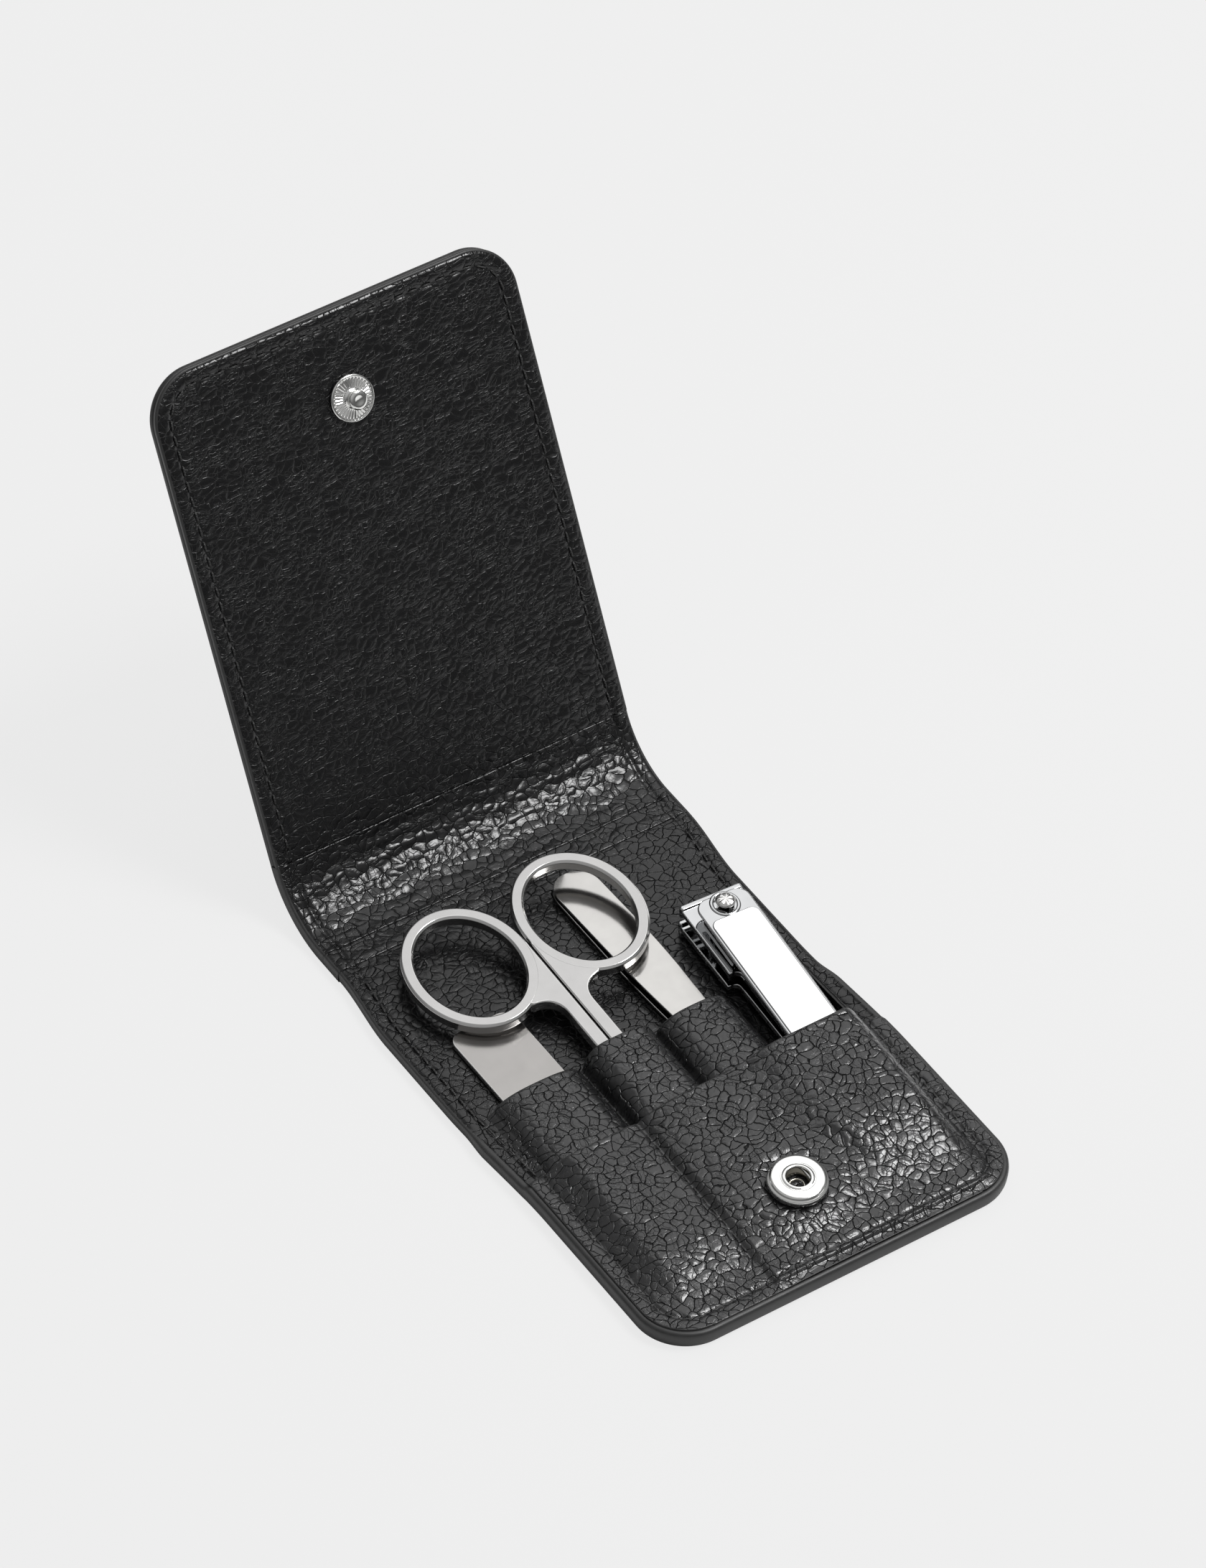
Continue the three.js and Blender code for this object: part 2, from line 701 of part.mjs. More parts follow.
// Scissors: the screw at the origin, the rings towards +Y. The right half is the upper at the lap.
function scissorsHalf() {
  const inner = halvesGap / 2;
  const outer = inner + shankWidth;
  const webX = ringCentreX + ringOuterX * Math.cos(webAngle);
  const webY = ringCentreY + ringOuterY * Math.sin(webAngle);
  const shank = new THREE.Shape();
  shank.moveTo(inner, shankStart);
  shank.lineTo(outer, shankStart);
  shank.lineTo(outer, webY - webDrop);
  shank.quadraticCurveTo(outer, webY, webX, webY);
  shank.lineTo(ringCentreX, ringCentreY - ringOuterY + ringBand / 2);
  shank.lineTo(ringCentreX, ringCentreY);
  shank.lineTo(inner, ringCentreY);
  shank.closePath();
  const eye = (radiusX, radiusY, half) => solid(slab(
    new THREE.Shape().absellipse(ringCentreX, ringCentreY, radiusX, radiusY, 0, 2 * Math.PI),
    -half, half, ringSteps));
  const lap = solid(bar(lapRadius, lapGap / 2, lapTop))
    .add(solid(block(inner, outer, 0, shankStart + halvesGap, lapGap / 2, lapTop)))
    .add(solid(slab(blade(), lapGap / 2, lapTop)));
  const half = shankThickness / 2;
  return solid(slab(shank, -half, half))
    .add(eye(ringOuterX, ringOuterY, ringThickness / 2))
    .subtract(eye(ringInnerX, ringInnerY, ringThickness))
    .add(lap)
    .subtract(solid(bar(screwRadius + screwGap, -ringThickness, ringThickness)));
}

function blade() {
  const outline = new THREE.Shape();
  outline.moveTo(-bladeBack, 0);
  outline.quadraticCurveTo(-bladeBack, -bladeLength / 2, -bladeTip, -bladeLength);
  outline.lineTo(bladeTip, -bladeLength);
  outline.lineTo(bladeEdge, -lapRadius);
  outline.lineTo(bladeEdge, 0);
  outline.closePath();
  return outline;
}

function scissorsScrew() {
  const seat = lapTop + screwHeadGap;
  return turned([
    [0, -seat - screwHead], [screwHeadRadius, -seat - screwHead], [screwHeadRadius, -seat],
    [screwRadius, -seat], [screwRadius, seat], [screwHeadRadius, seat],
    [screwHeadRadius, seat + screwHead], [0, seat + screwHead],
  ]);
}

function scissors() {
  const group = new THREE.Group();
  group.position.set(scissorsX, scissorsY, scissorsZ);
  group.rotation.set(scissorsPitch, -scissorsRoll, 0);
  const half = scissorsHalf();
  const right = named('scissors_right_half', half, satinSteel);
  const left = named('scissors_left_half', half.rotate([0, 180, 0]), satinSteel);
  group.add(right, left, named('scissors_screw', scissorsScrew(), satinSteel));
  return group;
}

// Nail clipper: two arms, the post through both jaws, the rivet at the tail, the folded lever
function clipperArm(low, lipLow, lipHigh) {
  const tail = armHalfWidth - clipperTail;
  const outline = new THREE.Shape();
  outline.absarc(0, tail, armHalfWidth, Math.PI, 2 * Math.PI);
  outline.lineTo(armHalfWidth, -jawBack - armShoulder);
  outline.lineTo(jawHalfWidth, -jawBack);
  outline.lineTo(jawHalfWidth, jawReach);
  outline.lineTo(-jawHalfWidth, jawReach);
  outline.lineTo(-jawHalfWidth, -jawBack);
  outline.lineTo(-armHalfWidth, -jawBack - armShoulder);
  outline.closePath();
  const high = low + armThickness;
  const lip = block(-jawHalfWidth, jawHalfWidth, jawReach - lipThickness, jawReach, lipLow, lipHigh);
  return solid(slab(outline, low, high))
    .add(solid(lip))
    .subtract(solid(bar(armHole, low - cutOverrun, high + cutOverrun)))
    .subtract(solid(bar(rivetHole, low - cutOverrun, high + cutOverrun, 0, rivetY)));
}

function clipperPost() {
  const foot = toolFloor;
  const neck = leverForkTop + postHeadGap;
  return turned([
    [0, foot], [footRadius, foot], [footRadius, foot + footThickness],
    [clipperPostRadius, foot + footThickness], [clipperPostRadius, neck],
    [postHeadRadius, neck], [postHeadRadius * Math.cos(quarterTurn / 2),
      neck + postHeadHeight * Math.sin(quarterTurn / 2)],
    [0, neck + postHeadHeight],
  ]);
}

function clipperRivet() {
  const low = lowerArmZ - rivetHeadGap;
  const high = upperArmTailZ + armThickness + rivetHead / 2;
  return turned([
    [0, low - rivetHead], [rivetHeadRadius, low - rivetHead], [rivetHeadRadius, low],
    [rivetRadius, low], [rivetRadius, high], [rivetHeadRadius, high],
    [rivetHeadRadius, high + rivetHead], [0, high + rivetHead],
  ]).translate(0, rivetY, 0);
}

function clipperLever() {
  const edge = leverHalfWidth - leverCorner;
  const outline = new THREE.Shape();
  outline.absarc(edge, leverReach - leverCorner, leverCorner, 0, quarterTurn);
  outline.absarc(-edge, leverReach - leverCorner, leverCorner, quarterTurn, Math.PI);
  outline.absarc(-edge, leverCorner - leverTail, leverCorner, Math.PI, 3 * quarterTurn);
  outline.absarc(edge, leverCorner - leverTail, leverCorner, -quarterTurn, 0);
  const flange = (side) => block(
    side * leverHalfWidth - (side > 0 ? leverFlangeThickness : 0),
    side * leverHalfWidth + (side > 0 ? 0 : leverFlangeThickness),
    -leverFlangeLength, -leverCorner / 2, -leverThickness - leverFlange, -leverThickness / 2);
  return solid(slab(outline, -leverThickness, 0))
    .add(solid(flange(1)))
    .add(solid(flange(-1)))
    .subtract(solid(bar(leverHole, -leverThickness - cutOverrun, cutOverrun)));
}

function clipper() {
  const group = new THREE.Group();
  group.position.set(clipperX, clipperY, 0);
  group.rotation.z = clipperYaw;
  const armTop = lowerArmZ + armThickness;
  const lower = clipperArm(lowerArmZ, lowerArmZ, armTop + lowerLip);
  const upper = clipperArm(0, -upperLip, armThickness).translate([0, -rivetY, 0]);
  const upperArm = named('clipper_upper_arm', upper, chrome);
  upperArm.position.set(0, rivetY, upperArmTailZ);
  upperArm.rotation.x = upperArmTilt;
  const lever = named('clipper_lever', clipperLever(), chrome);
  lever.position.z = leverZ;
  lever.rotation.x = leverTilt;
  group.add(named('clipper_lower_arm', lower, chrome), upperArm, lever);
  group.add(named('clipper_post', clipperPost(), chrome));
  group.add(named('clipper_tail_rivet', clipperRivet(), chrome));
  return group;
}

// Base panel with everything sewn to it
function straightSeam(x, front, back, floor) {
  const low = floor + threadGap;
  return block(x - threadWidth / 2, x + threadWidth / 2, front, back, low, low + threadHeight);
}

function base() {
  const group = new THREE.Group();
  const plies = panelPlies(baseEnd, 0, 0);
  group.add(named('base_outer_leather', plies.outer, leather));
  group.add(named('base_board', plies.board, board));
  group.add(named('base_lining', plies.lining, liningLeather));
  group.add(named('tool_sleeve_strip', sleeveStrip(), leather));
  group.add(named('front_pocket_panel', pocketPanel(), leather));
  group.add(named('pocket_gusset', pocketGusset(), leather));
  const mouthEnd = pocketMouth - threadEndGap;
  const behind = pocketMouth + threadEndGap;
  const baseSeam = (low, front, back, left, right) =>
    edgeSeam(baseEnd, 0, low + threadGap, front, back, left, right);
  const lastStitch = baseEnd - seamInset - threadWidth;
  group.add(named('base_front_thread', baseSeam(stripFloor + panelPly, 0, mouthEnd), thread));
  group.add(named(
    'base_left_thread', baseSeam(liningTop, behind, lastStitch, -halfWidth, 0), thread));
  group.add(named(
    'base_right_thread', baseSeam(liningTop, behind, lastStitch, 0, halfWidth), thread));
  const overStripTop = stripFloor + stripPly;
  group.add(named('pocket_seam_thread', straightSeam(
    pocketSeamX, stripFront + threadEndGap, mouthEnd, overStripTop + layerGap + panelPly), thread));
  group.add(named('sleeve_seam_thread_left', straightSeam(
    pocketSeamX, behind, sleeveMouth - threadEndGap, overStripTop), thread));
  group.add(named('sleeve_seam_thread_right', straightSeam(
    sleeveSeamX, behind, sleeveMouth - threadEndGap, overStripTop), thread));
  return group;
}

function socketGroup() {
  const group = new THREE.Group();
  group.position.set(socketX, socketY, socketSeat);
  group.rotation.x = closedTilt;
  group.add(named('snap_socket', snapSocket(), snapMetal));
  group.add(named('snap_socket_spring', snapSpring(), snapMetal));
  group.add(named('snap_socket_post', snapPost(), snapMetal));
  return group;
}

// Spine: the narrow plies between the two folds
function spine() {
  const group = new THREE.Group();
  const front = baseLength + lowerFoldWidth / 2 + foldGap;
  const back = upperHingeY - upperFoldReach - foldGap;
  const outerTop = outerPly + plyGap + boardThickness;
  const strip = (low, high) => block(-halfWidth, halfWidth, front, back, low, high);
  group.add(named('spine_outer_leather', strip(0, outerTop), leather));
  group.add(named('spine_lining', strip(outerTop + plyGap, liningTop), liningLeather));
  group.add(named('lower_fold_leather', lowerFold(), leather));
  group.add(named('upper_fold_leather', upperFold(), leather));
  return group;
}

// Flap, drawn flat from its hinge line with its inside up, then turned to its angle
function flap() {
  const group = new THREE.Group();
  group.position.set(0, upperHingeY, liningTop);
  group.rotation.x = flapRestAngle;
  const start = upperFoldReach + foldGap;
  const plies = panelPlies(start, flapLength, -liningTop);
  const rivetHoleCut = solid(bar(
    capShank + capShankGap, -liningTop - cutOverrun, cutOverrun, socketX, studAlongFlap));
  const pierced = (shape) => shape.subtract(rivetHoleCut);
  group.add(named('flap_outer_leather', pierced(plies.outer), leather));
  group.add(named('flap_board', pierced(plies.board), board));
  group.add(named('flap_lining', pierced(plies.lining), liningLeather));
  const seamStart = start + seamInset + threadWidth;
  group.add(named(
    'flap_edge_thread', edgeSeam(start, flapLength, threadGap, seamStart, flapLength), thread));
  for (const [name, shape] of [['snap_stud', snapStud()], ['snap_cap', snapCap()]]) {
    const mesh = named(name, shape, snapMetal);
    mesh.position.set(socketX, studAlongFlap, 0);
    group.add(mesh);
  }
  return group;
}

function looseTools() {
  const group = new THREE.Group();
  group.add(named('nail_file', nailFile(), satinSteel));
  group.add(named('tweezers_lower_leaf', leaf(() => toolFloor), satinSteel));
  group.add(named('tweezers_upper_leaf', leaf(upperLeafUnder), satinSteel));
  return group;
}

const manicureCase = new THREE.Group();
manicureCase.add(base(), socketGroup(), spine(), flap(), looseTools(), scissors(), clipper());
manicureCase.position.y = -baseLength / 2;

export default manicureCase;
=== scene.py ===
import json
import bpy
import numpy as np
from mathutils import Matrix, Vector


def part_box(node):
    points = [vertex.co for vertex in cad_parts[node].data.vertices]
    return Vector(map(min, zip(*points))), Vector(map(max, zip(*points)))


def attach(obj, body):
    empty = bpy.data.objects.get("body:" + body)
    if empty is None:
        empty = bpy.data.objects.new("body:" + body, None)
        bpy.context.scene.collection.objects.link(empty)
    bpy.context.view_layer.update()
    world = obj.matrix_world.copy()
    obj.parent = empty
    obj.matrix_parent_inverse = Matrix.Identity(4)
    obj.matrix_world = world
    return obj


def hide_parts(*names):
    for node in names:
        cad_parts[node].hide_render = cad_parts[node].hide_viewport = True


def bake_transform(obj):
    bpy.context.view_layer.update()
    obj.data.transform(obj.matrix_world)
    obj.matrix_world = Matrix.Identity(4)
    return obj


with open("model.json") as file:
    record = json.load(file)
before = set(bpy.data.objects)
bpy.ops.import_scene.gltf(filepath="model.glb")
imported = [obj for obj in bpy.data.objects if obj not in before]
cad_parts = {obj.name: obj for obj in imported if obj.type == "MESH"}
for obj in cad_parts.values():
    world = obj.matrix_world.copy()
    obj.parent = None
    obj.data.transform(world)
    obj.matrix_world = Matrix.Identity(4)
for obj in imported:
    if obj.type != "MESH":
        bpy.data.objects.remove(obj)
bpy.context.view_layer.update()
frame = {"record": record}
print("frame loaded")

# Shapes are worked out in millimetres: x across the case, y from the base's front edge, z up
mm = 0.001
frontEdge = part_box("base_outer_leather")[0][1] / mm


def span(node):  # a CAD node's lowest and highest corner in those millimetres
    return [np.array(corner) / mm - [0, frontEdge, 0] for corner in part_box(node)]


def hingeY(name):  # a joint's y in those millimetres
    joint = next(j for j in frame["record"]["behaviour"]["joints"] if j["name"] == name)
    return joint["pos_m"][1] / mm - frontEdge


case = {
    "cornerRadius": 9.0,
    "seamInset": 3.0,              # from the edge to the stitches
    "flapAngle": 61.0,             # degrees above the table
    "foldRadius": 15.0,            # inside radius of the bend below the flap
    "flapGap": 0.3,                # from the end of that bend to the flap's own plies
    "edgeRound": 0.55,             # how far the painted edge bulges
    "rimDrop": 0.12,               # its top lies this far below the leather
    "rimWidth": 0.5, "plainWidth": 1.2,    # from the rim to the leather's level and to its full grain
    "frontRise": 0.9, "frontBulge": 1.2,   # the edge is higher and rounder where the pocket is sewn in
    "sway": 1.5, "swayFrom": (35, 64), "swayBack": 82,    # the base bends to the left beside the tools
    "pitch": 0.29,                 # spacing of the leather's mesh
}

halfCase, baseEnd = span("base_outer_leather")[1][:2]
liningTop = span("base_lining")[1][2]
stripLow, stripHigh = span("tool_sleeve_strip")
mouthPocket, mouthSleeve = span("front_pocket_panel")[1][1], stripHigh[1]
lowerHinge, upperHinge = hingeY("spine_fold"), hingeY("flap_fold")
flapTilt = np.radians(case["flapAngle"])
foldReach = case["foldRadius"] * np.tan(flapTilt / 2)
flapStart = foldReach + case["flapGap"]
flapEnd = (span("flap_lining")[1][1] - upperHinge) / np.cos(flapTilt)
bendStart = upperHinge - foldReach         # where the upper fold leaves the table
bendEnd = bendStart + case["foldRadius"] * flapTilt    # both along the inner leather


def toFrame(points):  # those millimetres as metres in the row frame
    return (np.asarray(points, float) + [0, frontEdge, 0]) * mm


def flapPoints(x, u, height):  # u along the flap and a height over its lining, about the upper hinge
    y = upperHinge + u * np.cos(flapTilt) - height * np.sin(flapTilt)
    z = liningTop + u * np.sin(flapTilt) + height * np.cos(flapTilt)
    return np.stack(np.broadcast_arrays(x, y, z), -1)


def rise(value, low, high):  # 0 below low, 1 above high, 3t^2 - 2t^3 between
    share = np.clip((value - low) / (high - low), 0, 1)
    return share * share * (3 - 2 * share)


def bell(value, centre, width):  # exp(-((value - centre) / width)^2)
    return np.exp(-((value - centre) / width) ** 2)


def blendOf(low, high, share):
    return low + (high - low) * share


def swayed(points):  # the base's sideways bend, none at its fold or its front
    reach = rise(points[:, 1], *case["swayFrom"]) * (1 - rise(points[:, 1], case["swayBack"], baseEnd))
    return points - reach[:, None] * [case["sway"], 0, 0]


# Nodes

def fill(node, sockets):  # a socket feeds the input that it is given for, any other value is set on it
    for label, value in sockets.items():
        if isinstance(value, bpy.types.NodeSocket):
            node.id_data.links.new(value, node.inputs[label])
        else:
            node.inputs[label].default_value = value
    return node


def addNode(tree, kind, sockets=None, **settings):
    node = tree.nodes.new(kind)
    for label, value in settings.items():
        setattr(node, label, value)
    return fill(node, sockets or {})


def mathNode(tree, operation, *values):
    return addNode(tree, "ShaderNodeMath", dict(enumerate(values)), operation=operation).outputs[0]


def vectorNode(tree, operation, *values, result="Vector"):
    return addNode(tree, "ShaderNodeVectorMath", dict(enumerate(values)), operation=operation).outputs[result]


def rangeNode(tree, value, low, high, toLow, toHigh, **settings):
    return addNode(tree, "ShaderNodeMapRange", {
        "Value": value, "From Min": low, "From Max": high, "To Min": toLow, "To Max": toHigh},
                   **settings).outputs["Result"]


def noiseNode(tree, place, scale, detail, result="Fac"):
    return addNode(tree, "ShaderNodeTexNoise", {
        "Vector": place, "Scale": scale, "Detail": detail}).outputs[result]


def cellNode(tree, place, size, **settings):
    return addNode(tree, "ShaderNodeTexVoronoi", {"Vector": place, "Scale": 1 / size},
                   voronoi_dimensions="2D", **settings).outputs


def bumpNode(tree, height, strength, distance):
    return addNode(tree, "ShaderNodeBump", {
        "Height": height, "Strength": strength, "Distance": distance}).outputs["Normal"]


def rampNode(tree, value, *stops):  # a colour ramp through (place, grey or colour) stops
    node = addNode(tree, "ShaderNodeValToRGB", {"Fac": value})
    for element, (place, colour) in zip(node.color_ramp.elements, stops):
        element.position = place
        element.color = (*np.broadcast_to(colour, 3), 1)
    return node.outputs["Color"]


def newMaterial(name):
    material = bpy.data.materials.new(name)
    material.use_nodes = True
    tree = material.node_tree
    return material, tree, tree.nodes["Principled BSDF"]


def objectPlace(tree):
    return addNode(tree, "ShaderNodeTexCoord").outputs["Object"]


# Leather grain: the same nodes shape the mesh and, with narrower creases, the bump and the colour, which is
# painted darker in the creases as shade

pebble = {
    "stirs": ((0.3, 2.4), (1.1, 0.45)),        # scale and reach of the coarse and the fine noise
    "narrow": 0.86, "wide": 0.14, "wideReach": 0.5,   # weights of the two domes, and the wide one's reach
    "meshCrease": 0.2, "bumpCrease": 0.065,    # the narrow dome's reach, as shares of a cell
    "lean": 0.6,                               # how far a pebble's top leans
    "finerSize": 0.5, "finerCrease": 1.3,      # the cells that divide some pebbles
    "patchScale": 0.22, "patches": (0.38, 0.62), "often": (0.03, 0.28),   # where and how much they do
}
leathers = {"pocket": (1.6, 1.15, 0.17), "lining": (1.45, 1.4, 0.12)}   # size, sideways stretch, depth


def grainNodes(tree, place, size, stretch, crease):
    # place is in millimetres on the leather, stirred by coarse and fine noise and drawn out
    # sideways. With d the distance to the nearest crease in cells, a pebble's height is
    # 1 - (1 - min(d / r, 1))^2, a narrow r weighing six times a wide one, less a share of the same
    # for cells half as wide, and each pebble's top leans its own way
    p = pebble

    def dome(distance, reach):
        near = rangeNode(tree, distance, 0.0, reach, 1.0, 0.0)
        return mathNode(tree, "SUBTRACT", 1.0, mathNode(tree, "POWER", near, 2.0))

    drawn = place
    for scale, reach in p["stirs"]:
        shift = vectorNode(tree, "SUBTRACT", noiseNode(tree, drawn, scale, 1.5, "Color"), (0.5, 0.5, 0.5))
        drawn = vectorNode(tree, "MULTIPLY_ADD", shift, (reach, reach, 0), drawn)
    drawn = vectorNode(tree, "MULTIPLY", drawn, (1 / stretch, 1, 1))
    heights = []
    for share, narrow in ((1, crease), (p["finerSize"], p["finerCrease"] * crease)):
        distance = cellNode(tree, drawn, size * share, feature="DISTANCE_TO_EDGE")["Distance"]
        outer = mathNode(tree, "MULTIPLY", dome(distance, p["wideReach"]), p["wide"])
        heights.append(mathNode(tree, "MULTIPLY_ADD", dome(distance, narrow), p["narrow"], outer))
    own = cellNode(tree, drawn, size)
    fromMiddle = vectorNode(tree, "SUBTRACT", drawn, own["Position"])
    slant = vectorNode(tree, "SUBTRACT", own["Color"], (0.5, 0.5, 0))
    lean = vectorNode(tree, "DOT_PRODUCT", fromMiddle, slant, result="Value")
    leaning = mathNode(tree, "MULTIPLY", lean, heights[0])
    pebbles = mathNode(tree, "MULTIPLY_ADD", leaning, p["lean"] / size, heights[0])
    often = rangeNode(tree, noiseNode(tree, place, p["patchScale"], 1.0), *p["patches"], *p["often"])
    finer = mathNode(tree, "MULTIPLY", mathNode(tree, "SUBTRACT", 1.0, heights[1]), often)
    return mathNode(tree, "SUBTRACT", pebbles, finer)


def grainSampler(size, stretch):  # a geometry node tree that stores that height on a mesh's points
    tree = bpy.data.node_groups.new("grain_sampler", "GeometryNodeTree")
    for way in ("INPUT", "OUTPUT"):
        tree.interface.new_socket("Geometry", in_out=way, socket_type="NodeSocketGeometry")
    place = addNode(tree, "GeometryNodeInputPosition").outputs[0]
    store = addNode(tree, "GeometryNodeStoreNamedAttribute", {
        "Geometry": addNode(tree, "NodeGroupInput").outputs[0], "Name": "relief",
        "Value": grainNodes(tree, place, size, stretch, pebble["meshCrease"])})
    addNode(tree, "NodeGroupOutput", {0: store.outputs[0]})
    return tree


samplers = {name: grainSampler(*facts[:2]) for name, facts in leathers.items()}


def grain(x, y, name):  # pebble height less 1, so 0 on top, at places on one of the leathers
    points = np.stack([x.ravel(), y.ravel(), np.zeros(x.size)], 1)
    mesh = bpy.data.meshes.new("grain_points")
    mesh.vertices.add(len(points))
    mesh.vertices.foreach_set("co", points.astype(np.float32).ravel())
    holder = bpy.data.objects.new("grain_points", mesh)
    bpy.context.scene.collection.objects.link(holder)
    holder.modifiers.new("grain", "NODES").node_group = samplers[name]
    shaped = holder.evaluated_get(bpy.context.evaluated_depsgraph_get()).data
    relief = np.zeros(len(points), np.float32)
    shaped.attributes["relief"].data.foreach_get("value", relief)
    bpy.data.objects.remove(holder)
    bpy.data.meshes.remove(mesh)
    return relief.reshape(x.shape) - 1


def wander(x, y, size, seed):  # smooth noise: random values on a square lattice, joined by smooth steps
    side = 128
    table = np.random.default_rng(seed).uniform(-1, 1, (side, side))
    cellX, cellY = np.floor(x / size).astype(int), np.floor(y / size).astype(int)
    shareX, shareY = rise(x / size - cellX, 0, 1), rise(y / size - cellY, 0, 1)
    corner = lambda stepX, stepY: table[(cellY + stepY) % side, (cellX + stepX) % side]
    front = blendOf(corner(0, 0), corner(1, 0), shareX)
    back = blendOf(corner(0, 1), corner(1, 1), shareX)
    return blendOf(front, back, shareY)


# Meshes

def gridFaces(rows, columns, start=0, closed=False):  # quads of a grid, its columns joined round if closed
    j, i = np.meshgrid(np.arange(rows - 1), np.arange(columns - (not closed)), indexing="ij")
    after = (i + 1) % columns
    quads = [j * columns + i, j * columns + after, (j + 1) * columns + after, (j + 1) * columns + i]
    return start + np.stack(quads, -1).reshape(-1, 4)


def linked(name, data):
    piece = bpy.data.objects.new(name, data)
    bpy.context.scene.collection.objects.link(piece)
    return piece


def makePiece(name, points, parts, finishes, leather=None):
    # parts are (faces, finish number, smooth), the faces as arrays of corner numbers
    mesh = bpy.data.meshes.new(name)
    parts = [(np.atleast_2d(faces), finish, smooth) for faces, finish, smooth in parts if len(faces)]
    counts = np.concatenate([np.full(len(faces), faces.shape[1]) for faces, _, _ in parts])
    loops = np.concatenate([faces.ravel() for faces, _, _ in parts]).astype(np.int32)
    starts = np.concatenate([[0], np.cumsum(counts)[:-1]]).astype(np.int32)
    mesh.vertices.add(len(points))
    mesh.vertices.foreach_set("co", toFrame(points).astype(np.float32).ravel())
    mesh.loops.add(len(loops))
    mesh.loops.foreach_set("vertex_index", loops)
    mesh.polygons.add(len(counts))
    mesh.polygons.foreach_set("loop_start", starts)
    mesh.update(calc_edges=True)
    for label, which, kind in (("material_index", 1, np.int32), ("use_smooth", 2, bool)):
        values = np.concatenate([np.full(len(part[0]), part[which]) for part in parts])
        mesh.polygons.foreach_set(label, values.astype(kind))
    if leather is not None:  # where each point lies on the leather, for the grain
        layer = mesh.attributes.new("leather", "FLOAT_VECTOR", "POINT")
        layer.data.foreach_set("vector", leather.astype(np.float32).ravel())
    for finish in finishes:
        mesh.materials.append(finish)
    mesh.update()
    if mesh.validate():
        print("mended mesh of", name)
    return linked(name, mesh)


def settle(piece, body, slot, *nodes):
    # Rides the given body, if any, and hides the CAD nodes that it stands for; slot is not used
    if body:
        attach(piece, body)
    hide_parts(*nodes)
    return piece


def rimOf(rows, columns):  # numbers of a grid's outer corners, counterclockwise seen from above
    front = np.arange(columns)
    right = np.arange(1, rows) * columns + columns - 1
    back = (rows - 1) * columns + np.arange(columns - 2, -1, -1)
    left = np.arange(rows - 2, 0, -1) * columns
    return np.concatenate([front, right, back, left])


def rimPoints(top):
    return top.reshape(-1, 3)[rimOf(*top.shape[:2])]


def closeSheet(top, bottom, outward, plain=None, steps=8, squareness=0.7, notch=0.0):
    # A closed sheet from a top grid and a bottom one, or only the bottom's rim where a flat face
    # will do. Between the rims, at t = k / steps, a ring stands at height share (1 - c) / 2 with
    # c = sign(cos) |cos(pi t)|^squareness, and juts out by |sin(pi t)|^squareness
    rows, columns = top.shape[:2]
    rim, upper, lower = rimOf(rows, columns), top.reshape(-1, 3), bottom.reshape(-1, 3)
    foot = rim if bottom.ndim == 3 else np.arange(len(rim))
    angles = np.pi * np.arange(1, steps) / steps
    cosine = np.sign(np.cos(angles)) * np.abs(np.cos(angles)) ** squareness
    down = (1 - cosine[:, None, None]) / 2
    jut = np.sin(angles)[:, None, None] ** squareness - notch * bell(down, 0.38, 0.07)
    rings = upper[rim] * (1 - down) + lower[foot] * down + outward * jut
    points = np.concatenate([upper, lower, rings.reshape(-1, 3)])
    first = len(upper) + len(lower)
    order = np.concatenate([rim[None], first + np.arange((steps - 1) * len(rim)).reshape(-1, len(rim)),
                            (foot + len(upper))[None]])
    above, below = order[:-1], order[1:]
    sides = np.stack([below, np.roll(below, -1, 1), np.roll(above, -1, 1), above], -1)
    square = np.zeros(len(rim), bool) if plain is None else plain & np.roll(plain, -1)
    underside = gridFaces(rows, columns, len(upper))[:, ::-1] if bottom.ndim == 3 else (
        (foot + len(upper))[::-1][None])
    return points, {"top": gridFaces(rows, columns), "bottom": underside,
                    "edge": sides[:, ~square].reshape(-1, 4), "end": sides[:, square].reshape(-1, 4)}


def outOf(loop, first=0, second=1):  # unit vectors out of a loop that turns from one axis to another
    along = np.roll(loop, -1, 0) - np.roll(loop, 1, 0)
    outward = np.zeros_like(along)
    outward[:, first], outward[:, second] = along[:, second], -along[:, first]
    return outward / np.linalg.norm(outward, axis=1, keepdims=True)


def edgeOut(loop, reach, plain):  # those vectors times reach; corners marked plain only jut sideways
    outward = outOf(loop)
    outward[plain] = 0
    ends = plain & (np.abs(np.abs(loop[:, 0]) - np.abs(loop[:, 0]).max()) < 1e-6)
    outward[ends, 0] = np.sign(loop[ends, 0])
    return outward * reach


def edgeDistance(x, y):
    # Distance to the edge of a panel whose front corners are round: r - |p - corner centre| in a corner
    radius = case["cornerRadius"]
    sideways, forward = np.abs(x) - (halfCase - radius), radius - y
    corner = radius - np.hypot(np.maximum(sideways, 0), np.maximum(forward, 0))
    return np.where((sideways > 0) & (forward > 0), corner, np.minimum(halfCase - np.abs(x), y))


def panelGrid(inset, y, pitch):
    # x = u (h - r + sqrt(r^2 - (r - y)^2)) in the round corners and x = u h behind them
    half, radius = halfCase - inset, case["cornerRadius"] - inset
    into = np.clip(radius - (y - inset), 0, radius)
    wide = half - radius + np.sqrt(radius ** 2 - into ** 2)
    u = np.linspace(-1, 1, int(2 * halfCase / pitch))
    return wide[:, None] * u[None], np.repeat(y[:, None], len(u), 1)


